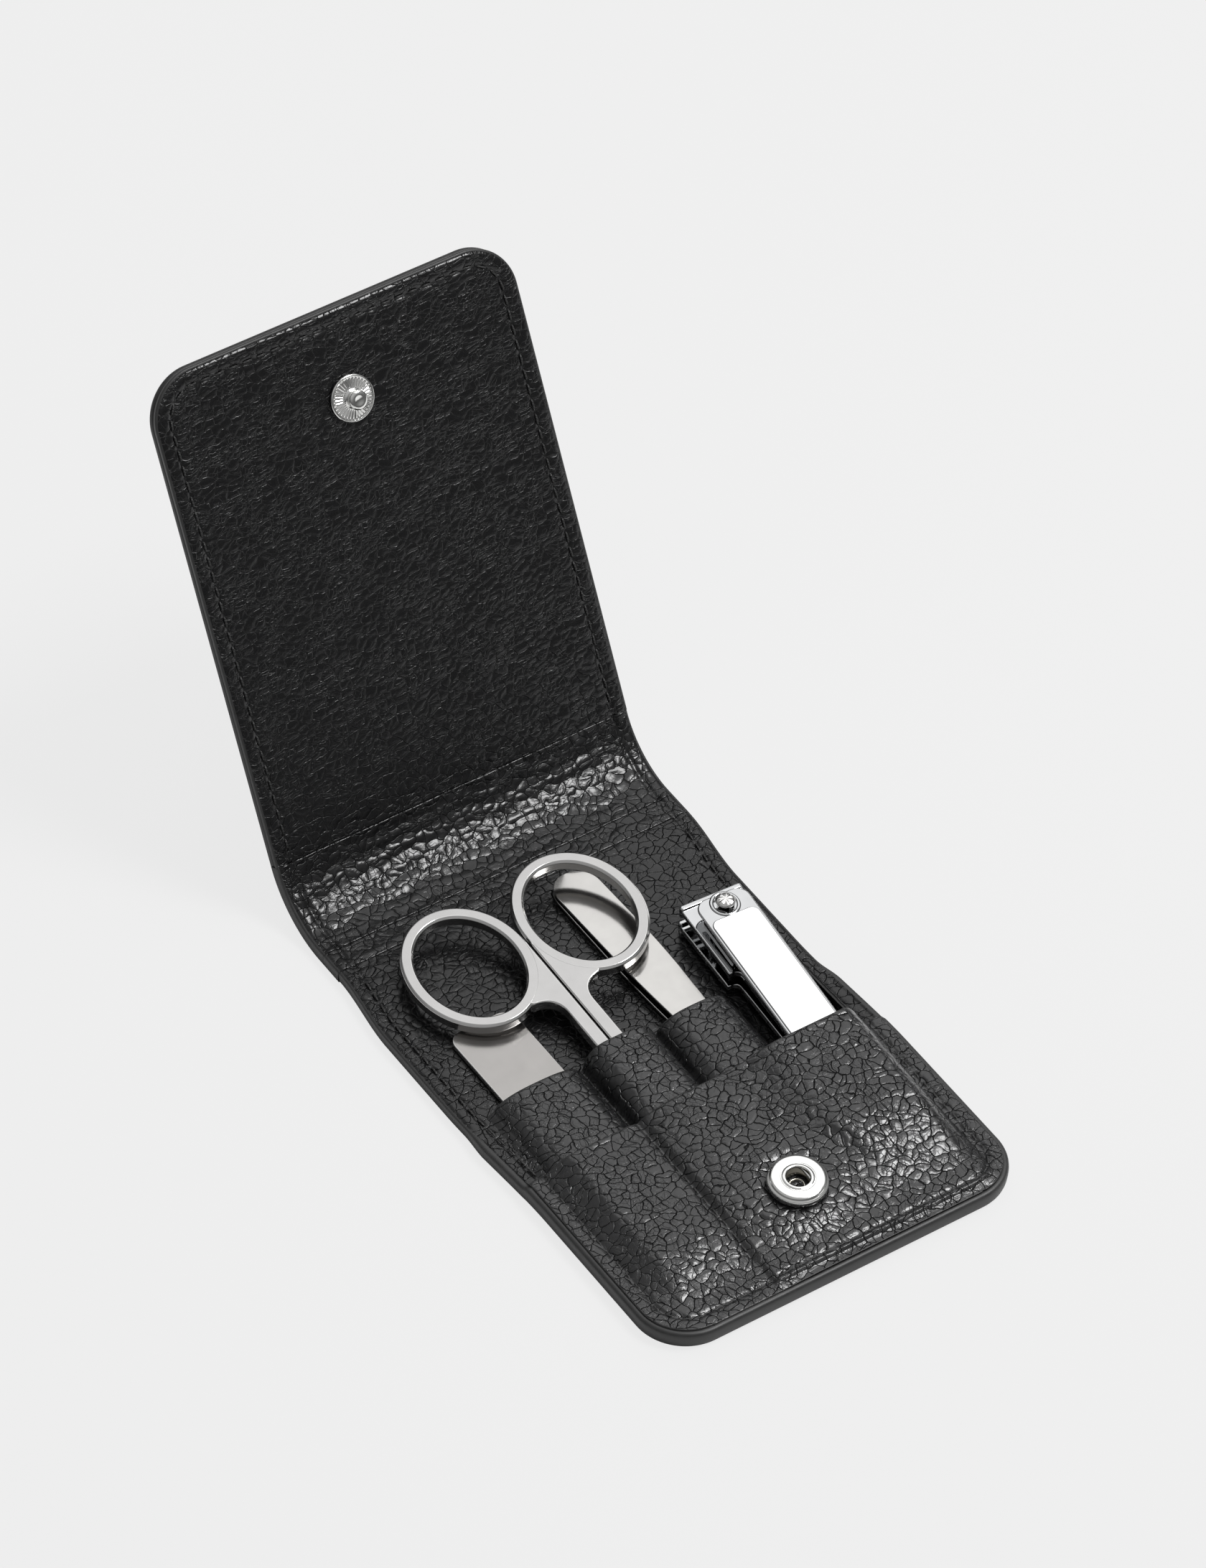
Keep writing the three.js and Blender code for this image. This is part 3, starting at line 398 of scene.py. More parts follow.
def panelRows(inset, *stretches):
    # Stations along a panel: close together where its corners turn, then each stretch at its pitch
    radius = case["cornerRadius"] - inset
    rows = [inset + radius * (1 - np.cos(np.linspace(0, np.pi / 2, 34)))]
    start = inset + radius
    for stop, pitch in stretches:
        rows.append(np.linspace(start, stop, max(int(round((stop - start) / pitch)), 1) + 1)[1:])
        start = stop
    return np.concatenate(rows)


# Finishes

def leatherMaterial(name, top, creaseShade, shine, specular, size, stretch, depth):
    # Dark pebbles whose creases are painted darker as shade and are duller, patchy gloss, and pores on top
    material, tree, shader = newMaterial(name)
    place = addNode(tree, "ShaderNodeAttribute", attribute_name="leather").outputs["Vector"]
    height = grainNodes(tree, place, size, stretch, pebble["bumpCrease"])
    gloss = rangeNode(tree, height, 0.05, 0.6, shine + 0.3, shine)
    rough = mathNode(tree, "MULTIPLY_ADD", noiseNode(tree, place, 2.4, 2.0), 0.08, height)
    fill(shader, {
        # the creases' darker colour is painted shade
        "Specular IOR Level": specular, "Base Color": rampNode(tree, height, (0.12, creaseShade), (0.5, top)),
        "Roughness": mathNode(tree, "MULTIPLY_ADD", noiseNode(tree, place, 0.3, 3.0), 0.1, gloss),
        "Normal": bumpNode(tree, rough, 1.0, depth * mm)})
    return material


def edgePaintMaterial():  # satin black edge paint, slightly uneven
    material, tree, shader = newMaterial("edge_paint")
    cloud = noiseNode(tree, objectPlace(tree), 420.0, 4.0)
    fill(shader, {"Base Color": rampNode(tree, cloud, (0.3, 0.014), (0.75, 0.022)),
                  "Roughness": rangeNode(tree, cloud, 0.0, 1.0, 0.38, 0.55),
                  "Normal": bumpNode(tree, cloud, 0.25, 0.2 * mm)})
    return material


def threadMaterial():  # black twisted thread: fine slanted ridges, painted darker between them as shade
    material, tree, shader = newMaterial("black_thread")
    twist = addNode(tree, "ShaderNodeTexWave", {"Vector": objectPlace(tree), "Scale": 900.0,
                                                "Distortion": 1.5}, bands_direction="DIAGONAL").outputs["Fac"]
    # darker where the twist is low: painted shade between the ridges
    fill(shader, {"Base Color": rampNode(tree, twist, (0.2, 0.004), (0.9, 0.016)), "Roughness": 0.5,
                  "Normal": bumpNode(tree, twist, 0.6, 0.08 * mm)})
    return material


# The second colour of each leather is the painted shade in its creases
pocketLeather = leatherMaterial("pocket_leather", (0.011, 0.011, 0.0115), 0.004, 0.2, 0.6,
                                *leathers["pocket"])
liningLeather = leatherMaterial("lining_leather", (0.004, 0.004, 0.0043), 0.0025, 0.18, 0.43,
                                *leathers["lining"])
edgePaint = edgePaintMaterial()
blackThread = threadMaterial()
print("leather finishes made")

# Case leather

relief = {
    "meshShare": 0.65,            # the mesh's share of the pebbles' depth, which the bump has in full
    "foldDepth": 0.2, "foldRidge": 0.11, "ridgePitch": 3.1,    # deeper grain and ridges in the folds
    "waves": 0.06,
    "furrow": 0.26, "furrowWidth": 0.36,                       # along the border stitches
    "outerSwell": (0.14, 1.6, 0.9), "innerSwell": (0.06, 4.3, 0.7),    # height, place and width beside it
    "mouthGroove": (0.1, 1.25, 0.35), "mouthFall": (0.12, 0.9),        # along both mouths
}
stitch = {"pitch": 2.75, "length": 2.15, "width": 0.42, "height": 0.26}


def liningSurface(x, s):
    # The inner leather runs in one length from the base over both folds to the flap, so its
    # grain is worked out on x and s, the distance along it; in the folds it creases deeper
    share = rise(s, baseEnd - 6, baseEnd + 3) * (1 - rise(s, bendEnd - 3, bendEnd + 8))
    phase = (s + 1.1 * wander(x, s, 6, 81)) / relief["ridgePitch"]
    ridges = np.sin(2 * np.pi * phase) * (0.6 + 0.4 * wander(x, s, 8, 82))
    depth = relief["meshShare"] * blendOf(leathers["lining"][2], relief["foldDepth"], share)
    return (depth * grain(x, s, "lining") + relief["foldRidge"] * share * ridges
            + relief["waves"] * wander(x, s, 9, 83))


def pocketGrain(x, y):
    return relief["meshShare"] * leathers["pocket"][2] * grain(x, y, "pocket")


def pull(place, share):  # 1 less up to twice that share: the leather dips where the thread dives
    return 1 - share + share * np.cos(2 * np.pi * place / stitch["pitch"])


def seamTrough(distance, x, s, low, high):
    # A furrow at the seam's inset, deepest where the thread dives, between two soft swells. The
    # stitches are counted along x at the front and along s at the sides
    dip = pull(np.where((s > low) & (s < high), s, x), 0.2)
    (outer, outerAt, outerWide), (inner, innerAt, innerWide) = relief["outerSwell"], relief["innerSwell"]
    furrow = relief["furrow"] * bell(distance, case["seamInset"], relief["furrowWidth"])
    return outer * bell(distance, outerAt, outerWide) + (
        inner * bell(distance, innerAt, innerWide) - furrow) * dip


def overRim(distance, edge, rim, level):  # the rim's height at the edge, then the leather's
    return blendOf(rim, level, rise(distance, edge - 0.02, edge + case["rimWidth"]))


def sheetPiece(name, points, faces, finishes, leather):
    # Finish 0 is the top, 1 the painted edge and 2 the underside
    parts = [(faces["top"], 0, True), (faces["edge"], 1, True), (faces["end"], 1, False),
             (faces["bottom"], 2, len(faces["bottom"]) > 1)]
    return makePiece(name, points, parts, finishes, leather)


def makeBase():
    # The lining and the painted edge round it in one closed piece; the edge stands higher and
    # bulges further where the sleeves' and the pocket's leather is sewn in
    edge, backStep = case["edgeRound"], mouthPocket - 0.5
    x, y = panelGrid(edge, panelRows(edge, (backStep - 3, 1.0), (baseEnd, case["pitch"])), case["pitch"])
    distance = edgeDistance(x, y)
    steps = rise(y, backStep - 0.6, backStep + 0.9) + rise(y, mouthSleeve - 5, mouthSleeve + 0.5)
    rim = liningTop - case["rimDrop"] + case["frontRise"] * (1 - 0.5 * steps)
    lift = liningSurface(x, y) * rise(distance, edge, edge + case["plainWidth"])
    level = liningTop + seamTrough(distance, x, y, 9, baseEnd) + lift
    top = np.stack([x, y, overRim(distance, edge, rim, level)], -1)
    loop = rimPoints(top)
    plain = loop[:, 1] > baseEnd - 1e-6
    outward = edgeOut(loop, edge, plain)
    foot = (loop - 0.4 * outward) * [1, 1, 0]
    outward *= 1 + case["frontBulge"] * (1 - rise(loop[:, 1:2], mouthSleeve - 6, mouthSleeve + 0.5))
    points, faces = closeSheet(top, foot, outward, plain, steps=12, squareness=0.62)
    piece = sheetPiece("base_panel", swayed(points), faces, [liningLeather, edgePaint, pocketLeather], points)
    settle(piece, "base", "outer_leather", "base_outer_leather", "base_board", "base_lining")


def innerPoints(x, s, height):
    # A point over the inner leather at distance s along it: flat on the base, round the bend
    # about its centre, then straight up the flap
    turn = np.clip((s - bendStart) / case["foldRadius"], 0, flapTilt)
    beyond = np.maximum(s - bendEnd, 0)
    radius = case["foldRadius"] - height
    y = np.minimum(s, bendStart) + radius * np.sin(turn) + beyond * np.cos(turn)
    z = liningTop + case["foldRadius"] - radius * np.cos(turn) + beyond * np.sin(turn)
    return np.stack(np.broadcast_arrays(x, y, z), -1)


def foldSheet(name, start, stop, notch, ends, *nodes):
    # A stretch of both leathers between two stations along the inner one, creased across;
    # ends, each a body and a place, are not used
    edge, pitch = case["edgeRound"], case["pitch"]
    s = np.linspace(start, stop, int(round((stop - start) / pitch)) + 1)
    x, s = np.meshgrid(np.linspace(-1, 1, int(2 * halfCase / pitch)) * (halfCase - edge), s)
    distance = halfCase - np.abs(x)
    lift = liningSurface(x, s) * rise(distance, edge, edge + case["plainWidth"])
    height = overRim(distance, edge, -case["rimDrop"], seamTrough(distance, x, s, -np.inf, np.inf) + lift)
    back = -liningTop - overRim(distance, edge, 0, pocketGrain(x, s))
    flat = np.stack([x, s, height], -1)
    loop = rimPoints(flat)
    plain = (loop[:, 1] < start + 1e-6) | (loop[:, 1] > stop - 1e-6)
    points, faces = closeSheet(flat, np.stack([x, s, back], -1), edgeOut(loop, edge, plain), plain,
                               steps=12, squareness=0.62, notch=notch)
    piece = sheetPiece(name, innerPoints(*points.T), faces, [liningLeather, edgePaint, pocketLeather],
                       points)
    settle(piece, None, "outer_leather", *nodes)
    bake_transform(piece)


def makeFolds():
    spineMiddle = (lowerHinge + 1.5 + bendStart) / 2
    foldSheet("lower_fold", baseEnd, spineMiddle, 0,
              [("base", [0, lowerHinge - 1.5, liningTop]), ("spine", [0, lowerHinge + 1.5, liningTop])],
              "lower_fold_leather", "spine_outer_leather")
    foldSheet("upper_fold", spineMiddle, bendEnd + case["flapGap"], 0.3,
              [("spine", [0, bendStart, liningTop]), ("flap", innerPoints(0, bendEnd, 0))],
              "upper_fold_leather", "spine_lining")


def flapSheet(surface, top, bottom, edge):
    # A ply of the flap in its own plane, its round end last
    rows = panelRows(edge, (flapEnd - flapStart, case["pitch"]))[::-1]
    x, fromEnd = panelGrid(edge, rows, case["pitch"])
    u = flapEnd - fromEnd
    distance = edgeDistance(x, fromEnd)
    lift = surface(x, u) * rise(distance, 0.4, 1.6) + seamTrough(distance, x, u, 0, flapEnd - 9)
    flat = np.stack([x, u, overRim(distance, edge, top - case["rimDrop"], top + lift)], -1)
    loop = rimPoints(flat)
    plain = loop[:, 1] < flapStart + 1e-6
    outward = edgeOut(loop, edge, plain)
    foot = (loop - 0.3 * outward) * [1, 1, 0] + [0, 0, bottom]
    return closeSheet(flat, foot, outward, plain, steps=8, squareness=0.6)


def makeFlap():
    split = 1.25                   # thickness of the lining with its board
    toInner = [0, bendEnd - foldReach, 0]      # from the flap's own u to the inner leather's s
    points, faces = flapSheet(lambda x, u: liningSurface(x, u + toInner[1]), 0, -split, 0.42)
    lining = sheetPiece("flap_inner_ply", flapPoints(*points.T), faces,
                        [liningLeather, edgePaint, edgePaint], points + toInner)
    settle(lining, "flap", "lining_leather", "flap_lining", "flap_board")
    points, faces = flapSheet(pocketGrain, liningTop, split + 0.04, case["edgeRound"])
    # Turned over about the flap's middle line, so that its grain faces outwards
    outer = sheetPiece("flap_outer_ply", flapPoints(*(points * [-1, 1, -1]).T), faces,
                       [pocketLeather, edgePaint, edgePaint], points)
    settle(outer, "flap", "outer_leather", "flap_outer_leather")


makeBase()
makeFolds()
makeFlap()
print("panels and folds made")

# Sleeves and pocket

pocketSeam = np.mean([corner[0] for corner in span("pocket_seam_thread")])
sleeveSeam = np.mean([corner[0] for corner in span("sleeve_seam_thread_right")])
layers = {
    "strip": 0.6, "panel": 0.65, "gap": 0.1,    # thickness of both leathers and the gap below them
    "sleeveFront": 13.5,      # the sleeves are full height from here
    "growth": 0.8,            # power with which they swell on towards their mouths
    "land": 0.5,              # flat leather beside a seam
    "border": 0.2,            # the strip's mesh ends this far outside the stitches at its left
    "sink": 0.5, "sinkX": (2.8, 4.6),       # it is pressed down there, from the case's edge inwards,
    "thin": 0.45, "thinX": (2.4, 4.2),      # and loses this share of its thickness
    "calmEdge": (0.5, 1.6),   # the grain fades in this far from the case's edge and from the mouths
    "calmStrip": (0.9, 1.8), "calmPanel": (0.9, 1.9),
    "pitch": 0.27,            # spacing of the mesh
    "stripPlace": 90,         # the strip's grain is taken this far along the hide
}
sleeves = [                   # from, to, height at the front and at the mouth, squareness
    (stripLow[0] + 0.15, pocketSeam - layers["land"], 4.5, 5.2, 2.6),
    (pocketSeam + layers["land"], sleeveSeam - layers["land"], 4.6, 7.4, 4.2),
    (sleeveSeam + layers["land"], stripHigh[0] - 0.6, 4.7, 6.1, 2.7),
]
snap = {
    "x": 0.2, "y": 15.9, "seat": 6.65, "tilt": 3.762,   # the socket lies square to the closed flap
    "padRadius": 5.4,         # the pocket is flat under the snap and falls away in a cone
    "fallFront": 0.52, "fallBack": 0.2,
    "stud": 81.7,             # along the flap from its hinge line
}
lever = {"top": 11.309, "tilt": 4.56, "post": (23.7, 71.0)}   # its face at the post, which is at x, y
pocket = {
    "shoulder": 10.0,         # width of the rounded shoulder beside the seam
    "shoulderY": (4, 15.5), "fileY": (3.0, 17.0),   # where it and the swell over the file grow
    "fileX": (2.2, 9),        # and where the latter grows, from the case's left edge
    "seamLevel": 0.9,         # the seam lies this far up the way to the leather over the file
    "seamFall": 2.4,          # the leather comes down to it over this width
    # The swell over the lever starts and is full here, at the snap and then at the mouth
    "bulgeStart": (8.0, -4.0), "startY": (13, 32), "bulgeFull": (18.0, 14.4), "fullY": (10, 24),
    "bulgeY": (3.0, 24.0), "leverEnd": 24.5,        # where it grows, and where the lever ends
    "ridgeX": 27.2, "footX": 31.7, "wallPower": 2.1,    # the wall at its right
    "lowest": 0.3,            # the least height over the strip's floor
    "swellBlur": 1.6, "padBlur": 1.5, "padBlend": 2.5, "seamBlend": 1.5,
    "rimTop": 3.55, "rimSlope": 0.25,               # the panel's rim under the border stitches
}
stripFloor = liningTop + layers["gap"]
overStrip = layers["strip"] + layers["gap"]


def sleeveShare(y):  # 0 at the sleeves' front, 1 at their mouths
    front = layers["sleeveFront"]
    return np.clip((y - front) / (mouthSleeve - front), 0, 1) ** layers["growth"]


def stripUnder(x, y):
    # Each sleeve is an arch sqrt(1 - |a|^n) across, laid down at its front
    sunk = layers["sink"] * (1 - rise(x + halfCase, *layers["sinkX"]))
    under = np.full(np.broadcast(x, y).shape, stripFloor) - sunk
    for left, right, front, mouth, squareness in sleeves:
        across = np.clip(np.abs(2 * (x - left) / (right - left) - 1), 0, 1)
        crown = blendOf(front, mouth, sleeveShare(y)) - stripFloor
        arch = crown * np.sqrt(1 - across ** squareness) * rise(y, stripLow[1], layers["sleeveFront"])
        under = np.where(arch > 0, np.maximum(under, stripFloor + arch), under)
    return under


def softMax(first, second, blur):  # the larger of two, rounded by blur where they cross
    return (first + second + np.sqrt((first - second) ** 2 + blur ** 2)) / 2


def panelUnder(x, y):
    # Left of the seam the panel swells over the file. Right of it the panel is the rounded maximum
    # of a shoulder 1 - (1 - a)^2 as high as the scissors' sleeve, a swell over the lever that
    # ends in a ridge 1 - b^2.1, and a cone under the snap that is steeper towards the front
    p, along, low = pocket, sleeveShare(y), stripFloor + pocket["lowest"]
    overFile = sleeves[0][2] + overStrip + 0.5 * along
    seamLevel = blendOf(low, overFile, p["seamLevel"] * rise(y, *p["fileY"]))
    overScissors = blendOf(*sleeves[1][2:4], along) + overStrip + 0.1
    crest = blendOf(stripFloor + overStrip, overScissors, rise(y, *p["shoulderY"]))
    across = np.clip((x - pocketSeam) / p["shoulder"], 0, 1)
    hull = blendOf(seamLevel, np.maximum(crest, seamLevel), 1 - (1 - across) ** 2)
    leverFace = lever["top"] + np.tan(np.radians(lever["tilt"])) * (
        np.maximum(y, p["leverEnd"]) - lever["post"][1])
    wall = 1 - np.clip((x - p["ridgeX"]) / (p["footX"] - p["ridgeX"]), 0, 1) ** p["wallPower"]
    start = blendOf(*p["bulgeStart"], rise(y, *p["startY"]))
    full = blendOf(*p["bulgeFull"], rise(y, *p["fullY"]))
    swell = stripFloor + (leverFace + 0.3 - stripFloor) * rise(x, start, full) * rise(y, *p["bulgeY"])
    reach, radius = np.hypot(x - snap["x"], y - snap["y"]), snap["padRadius"]
    fall = blendOf(snap["fallFront"], snap["fallBack"], rise(y - snap["y"], -4, 5))
    pad = snap["seat"] - layers["panel"] + (y - snap["y"]) * np.tan(np.radians(snap["tilt"]))
    pad -= fall * (np.sqrt(np.maximum(reach - radius, 0) ** 2 + 1) - 1)
    right = softMax(softMax(swell, hull, p["swellBlur"]), pad, p["padBlur"]) - 0.2
    right = blendOf(pad, blendOf(low, right, wall), rise(reach, radius, radius + p["padBlend"]))
    right = blendOf(seamLevel, np.maximum(right, low), rise(x, pocketSeam, pocketSeam + p["seamBlend"]))
    left = blendOf(low, overFile, rise(x + halfCase, *p["fileX"]) * rise(y, *p["fileY"]))
    left = blendOf(left, seamLevel, rise(x, pocketSeam - p["seamFall"], pocketSeam))
    return np.where(x < pocketSeam, left, right)


def seamFurrow(x, y, seam):  # along a straight seam at x = seam, pulled down where the thread dives
    return -0.3 * bell(x, seam, 0.4) * pull(y, 0.15)


def mouthEdge(y, mouth):  # a soft groove along a mouth, whose edge falls away
    deep, place, wide = relief["mouthGroove"]
    fall, start = relief["mouthFall"]
    return -deep * bell(y, mouth - place, wide) - fall * rise(y, mouth - start, mouth)


def stripTop(x, y):
    thickness = layers["strip"] * (1 - layers["thin"] * (1 - rise(x + halfCase, *layers["thinX"])))
    grained = pocketGrain(x + layers["stripPlace"], y) * rise(mouthSleeve - y, *layers["calmStrip"])
    furrows = seamFurrow(x, y, pocketSeam) + seamFurrow(x, y, sleeveSeam)
    return stripUnder(x, y) + thickness + grained + furrows + mouthEdge(y, mouthSleeve)


def panelTop(x, y):
    distance = edgeDistance(x, y)
    calm = rise(distance, *layers["calmEdge"]) * rise(mouthPocket - y, *layers["calmPanel"])
    grained = pocketGrain(x, y) * calm
    trough = seamTrough(distance, x, y, 9, mouthPocket) + seamFurrow(x, y, pocketSeam) * rise(y, 6, 9)
    return panelUnder(x, y) + layers["panel"] + grained + trough + mouthEdge(y, mouthPocket)


def pocketPiece(name, top, bottom, outward, leather, node, flip=False):
    points, faces = closeSheet(top, bottom, outward, steps=6, squareness=0.8)
    if flip:
        faces = {part: corners[:, ::-1] for part, corners in faces.items()}
    piece = sheetPiece(name, points, faces, [pocketLeather, edgePaint, pocketLeather], leather(points))
    settle(piece, "base", "outer_leather", node)


def makeStrip():
    rim = 0.3
    left, right = -halfCase + case["seamInset"] - layers["border"], stripHigh[0] - rim
    y = np.linspace(stripLow[1], mouthSleeve - rim, int((mouthSleeve - stripLow[1]) / 0.3))
    x, y = np.meshgrid(np.linspace(left, right, int((right - left) / layers["pitch"])), y)
    top, bottom = np.stack([x, y, stripTop(x, y)], -1), np.stack([x, y, stripUnder(x, y)], -1)
    pocketPiece("sleeve_strip", top, bottom, outOf(rimPoints(top)) * rim,
                lambda points: points + [layers["stripPlace"], 0, 0], "tool_sleeve_strip")


def makePocket():
    inset, rim = case["edgeRound"] - 0.1, 0.3
    rows = panelRows(inset, (mouthPocket - rim, layers["pitch"]))
    x, y = panelGrid(inset + 0.1, rows, layers["pitch"])
    distance, z = edgeDistance(x, y), panelTop(x, y)
    z = np.where(distance < 2, np.minimum(z, pocket["rimTop"] + pocket["rimSlope"] * distance), z)
    top, bottom = np.stack([x, y, z], -1), np.stack([x, y, panelUnder(x, y)], -1)
    reach = np.where(rimPoints(top)[:, 1] > mouthPocket - 0.31, rim, 0.12)[:, None]
    pocketPiece("front_pocket", top, bottom, outOf(rimPoints(top)) * reach, lambda points: points,
                "front_pocket_panel")


gusset = {
    "foot": -0.2, "top": 2.1,     # across, from the pocket's wall and from its ridge
    "end": 0.6,                   # height left where it ends on the lining
    "fall": 0.92, "lean": 0.9,    # powers of the crest's fall and of the way up
    "bulge": 0.4, "grain": 0.7, "rim": 0.25,
}


def makeGusset():
    # The pocket's side wall behind its mouth: from foot to crest, the crest falling to the lining
    low, high = span("pocket_gusset")
    g, footX, topX = gusset, pocket["footX"] + gusset["foot"], pocket["ridgeX"] + gusset["top"]
    share, up = np.meshgrid(np.linspace(0, 1, 96), np.linspace(0, 1, 26))
    crest = blendOf(panelUnder(topX, mouthPocket - 0.3), low[2] + g["end"], share ** g["fall"])
    bulge = g["bulge"] * np.sin(np.pi * up) * (1 - share)
    x = blendOf(footX, blendOf(topX, footX, share), up ** g["lean"]) + bulge
    y, z = blendOf(low[1], high[1], share), blendOf(low[2], crest, up)
    # Across the wall the sheet's own up is +X, so its rows run down and its rim juts up and along
    outer = np.stack([x + g["grain"] * pocketGrain(y, 10 * up), y, z], -1)[:, ::-1]
    inner = np.stack([x - layers["panel"], y, z], -1)[:, ::-1]
    pocketPiece("pocket_side_wall", outer, inner, outOf(rimPoints(outer), 1, 2) * g["rim"],
                lambda points: points[:, [1, 2, 0]], "pocket_gusset", flip=True)


makeStrip()
makePocket()
makeGusset()
print("sleeves and pocket made")

# Stitches

def borderSeam(reach):
    # The stitches round a panel's round end, both ways from the middle of its front: straight, a
    # quarter turn, straight again up to y = reach
    inset = case["seamInset"]
    radius, half = case["cornerRadius"] - inset, halfCase - case["cornerRadius"]
    count = int((half + radius * np.pi / 2 + reach - case["cornerRadius"]) / stitch["pitch"])
    t = np.arange(-count, count + 1) * stitch["pitch"]
    away, sign = np.abs(t), np.sign(t)
    turn = np.clip((away - half) / radius, 0, np.pi / 2)
    x = np.minimum(away, half) + radius * np.sin(turn)
    y = inset + radius * (1 - np.cos(turn)) + np.maximum(away - half - radius * np.pi / 2, 0)
    return sign * x, y, np.cos(turn), sign * np.sin(turn)


def stitches(x, y, alongX, alongY, height):
    # A rounded bar for each stitch: its ends dive as (2t - 1)^4, its girth is sqrt(1 - (2t - 1)^6)
    t = np.linspace(0, 1, 7)[None, :, None]
    angle = np.linspace(0, 2 * np.pi, 9)[:-1][None, None, :]
    swing = np.random.default_rng(5).uniform(-0.06, 0.06, len(x))
    alongX, alongY = alongX - swing * alongY, alongY + swing * alongX
    column = lambda values: np.asarray(values)[:, None, None]
    step = (t - 0.5) * stitch["length"]
    girth = np.sqrt(np.clip(1 - (2 * t - 1) ** 6, 0.06, 1))
    side = girth * stitch["width"] / 2 * np.cos(angle)
    px = column(x) + column(alongX) * step - column(alongY) * side
    py = column(y) + column(alongY) * step + column(alongX) * side
    pz = column(height(x, y)) + girth * stitch["height"] / 2 * (1 + np.sin(angle)) - 0.16 * (2 * t - 1) ** 4
    points = np.stack(np.broadcast_arrays(px, py, pz), -1)
    count, rings, sides = points.shape[:3]
    first = np.arange(count)[:, None] * rings * sides
    quads = (gridFaces(rings, sides, closed=True)[None] + first[..., None]).reshape(-1, 4)
    caps = np.concatenate([np.arange(sides)[::-1] + first, np.arange(sides) + (rings - 1) * sides + first])
    return points.reshape(-1, 3), [(quads, 0, True), (caps, 0, True)]


def stitchPiece(name, body, points, parts, node):
    settle(makePiece(name + "_stitches", points, parts, [blackThread]), body, "thread", node)


def baseSeamHeight(x, y):
    strip = stripUnder(x, y) + layers["strip"]
    behind = np.where((x < 0) & (y < mouthSleeve - 0.5), strip, liningTop)
    return np.where(y < mouthPocket, panelTop(x, y), behind) - 0.1


def makeStitches():
    x, y, alongX, alongY = borderSeam(baseEnd - case["seamInset"])
    behind = y > mouthPocket + 0.6
    for name, chosen in (("base_front", y < mouthPocket - 0.6), ("base_left", behind & (x < 0)),
                         ("base_right", behind & (x > 0))):
        points, parts = stitches(*(values[chosen] for values in (x, y, alongX, alongY)), baseSeamHeight)
        stitchPiece(name, "base", swayed(points), parts, name + "_thread")
    seam = borderSeam(flapEnd - flapStart - case["seamInset"] + 2)
    points, parts = stitches(*seam, lambda x, y: -0.14 + 0 * x)
    points = flapPoints(-points[:, 0], flapEnd - points[:, 1], points[:, 2])
    stitchPiece("flap", "flap", points, parts, "flap_edge_thread")
    sleeveSpan = mouthPocket + 0.9, mouthSleeve - 1.2
    for name, node, x, (front, back), height in (
            ("pocket_seam", "pocket_seam_thread", pocketSeam, (9.6, mouthPocket - 0.8), panelTop),
            ("sleeve_seam_left", "sleeve_seam_thread_left", pocketSeam, sleeveSpan, stripTop),
            ("sleeve_seam_right", "sleeve_seam_thread_right", sleeveSeam, sleeveSpan, stripTop)):
        y = np.arange(front + stitch["length"] / 2, back - stitch["length"] / 2, stitch["pitch"])
        made = stitches(np.full_like(y, x), y, 0 * y, 1 + 0 * y, lambda x, y: height(x, y) - 0.05)
        stitchPiece(name, "base", *made, node)


makeStitches()
print("stitches made")

# Metal

def metalMaterial(name, colour, roughness, lines=0.0):
    # Metal with faint clouds in its colour and gloss, and fine lines along the case where it is brushed
    material, tree, shader = newMaterial(name)
    place = objectPlace(tree)
    cloud = noiseNode(tree, place, 260.0, 3.0)
    stretched = addNode(tree, "ShaderNodeMapping", {"Vector": place, "Scale": (9000, 500, 9000)}).outputs[0]
    darker = [0.93 * part for part in colour]
    fill(shader, {"Metallic": 1.0, "Base Color": rampNode(tree, cloud, (0.3, darker), (0.7, colour)),
                  "Roughness": rangeNode(tree, cloud, 0.0, 1.0, 0.8 * roughness, 1.25 * roughness),
                  "Normal": bumpNode(tree, noiseNode(tree, stretched, 1.0, 2.0), lines, 0.012 * mm)})
    return material


satinSteel = metalMaterial("satin_steel", (0.33, 0.32, 0.31), 0.2, 0.5)
brushedSteel = metalMaterial("brushed_steel", (0.43, 0.425, 0.42), 0.22, 0.6)
palerSteel = metalMaterial("pale_satin_steel", (0.5, 0.49, 0.475), 0.13, 0.3)
polishedSteel = metalMaterial("polished_steel", (0.68, 0.675, 0.665), 0.14, 0.15)
chrome = metalMaterial("chrome_plate", (0.5, 0.505, 0.51), 0.05, 0.05)
# The lever's raised face takes a near-white copy of the chrome plating: a painted highlight, brighter than
# the rest of the same plating
highlightChrome = metalMaterial("chrome_painted_highlight", (0.96, 0.96, 0.96), 0.02)
snapMetal = metalMaterial("snap_nickel", (0.72, 0.72, 0.705), 0.11, 0.2)
# A darker copy of the snap metal for the socket's cavity and the post's hollow: painted shade
snapCavityShade = metalMaterial("snap_painted_shade", (0.34, 0.32, 0.27), 0.3, 0.4)


def swung(points, roll=0.0, pitch=0.0, yaw=0.0):  # turned about y, then x, then z, in degrees
    cosine, sine = np.cos(np.radians([roll, pitch, yaw])), np.sin(np.radians([roll, pitch, yaw]))
    x, y, z = points.T
    x, z = cosine[0] * x + sine[0] * z, cosine[0] * z - sine[0] * x
    y, z = cosine[1] * y - sine[1] * z, sine[1] * y + cosine[1] * z
    x, y = cosine[2] * x - sine[2] * y, sine[2] * x + cosine[2] * y
    return np.stack([x, y, z], -1)


def joined(*solids):  # several (points, parts) as one
    points, parts, start = [], [], 0
    for some, theirs in solids:
        parts += [(np.atleast_2d(faces) + start, finish, smooth) for faces, finish, smooth in theirs]
        points.append(some)
        start += len(some)
    return np.concatenate(points), parts


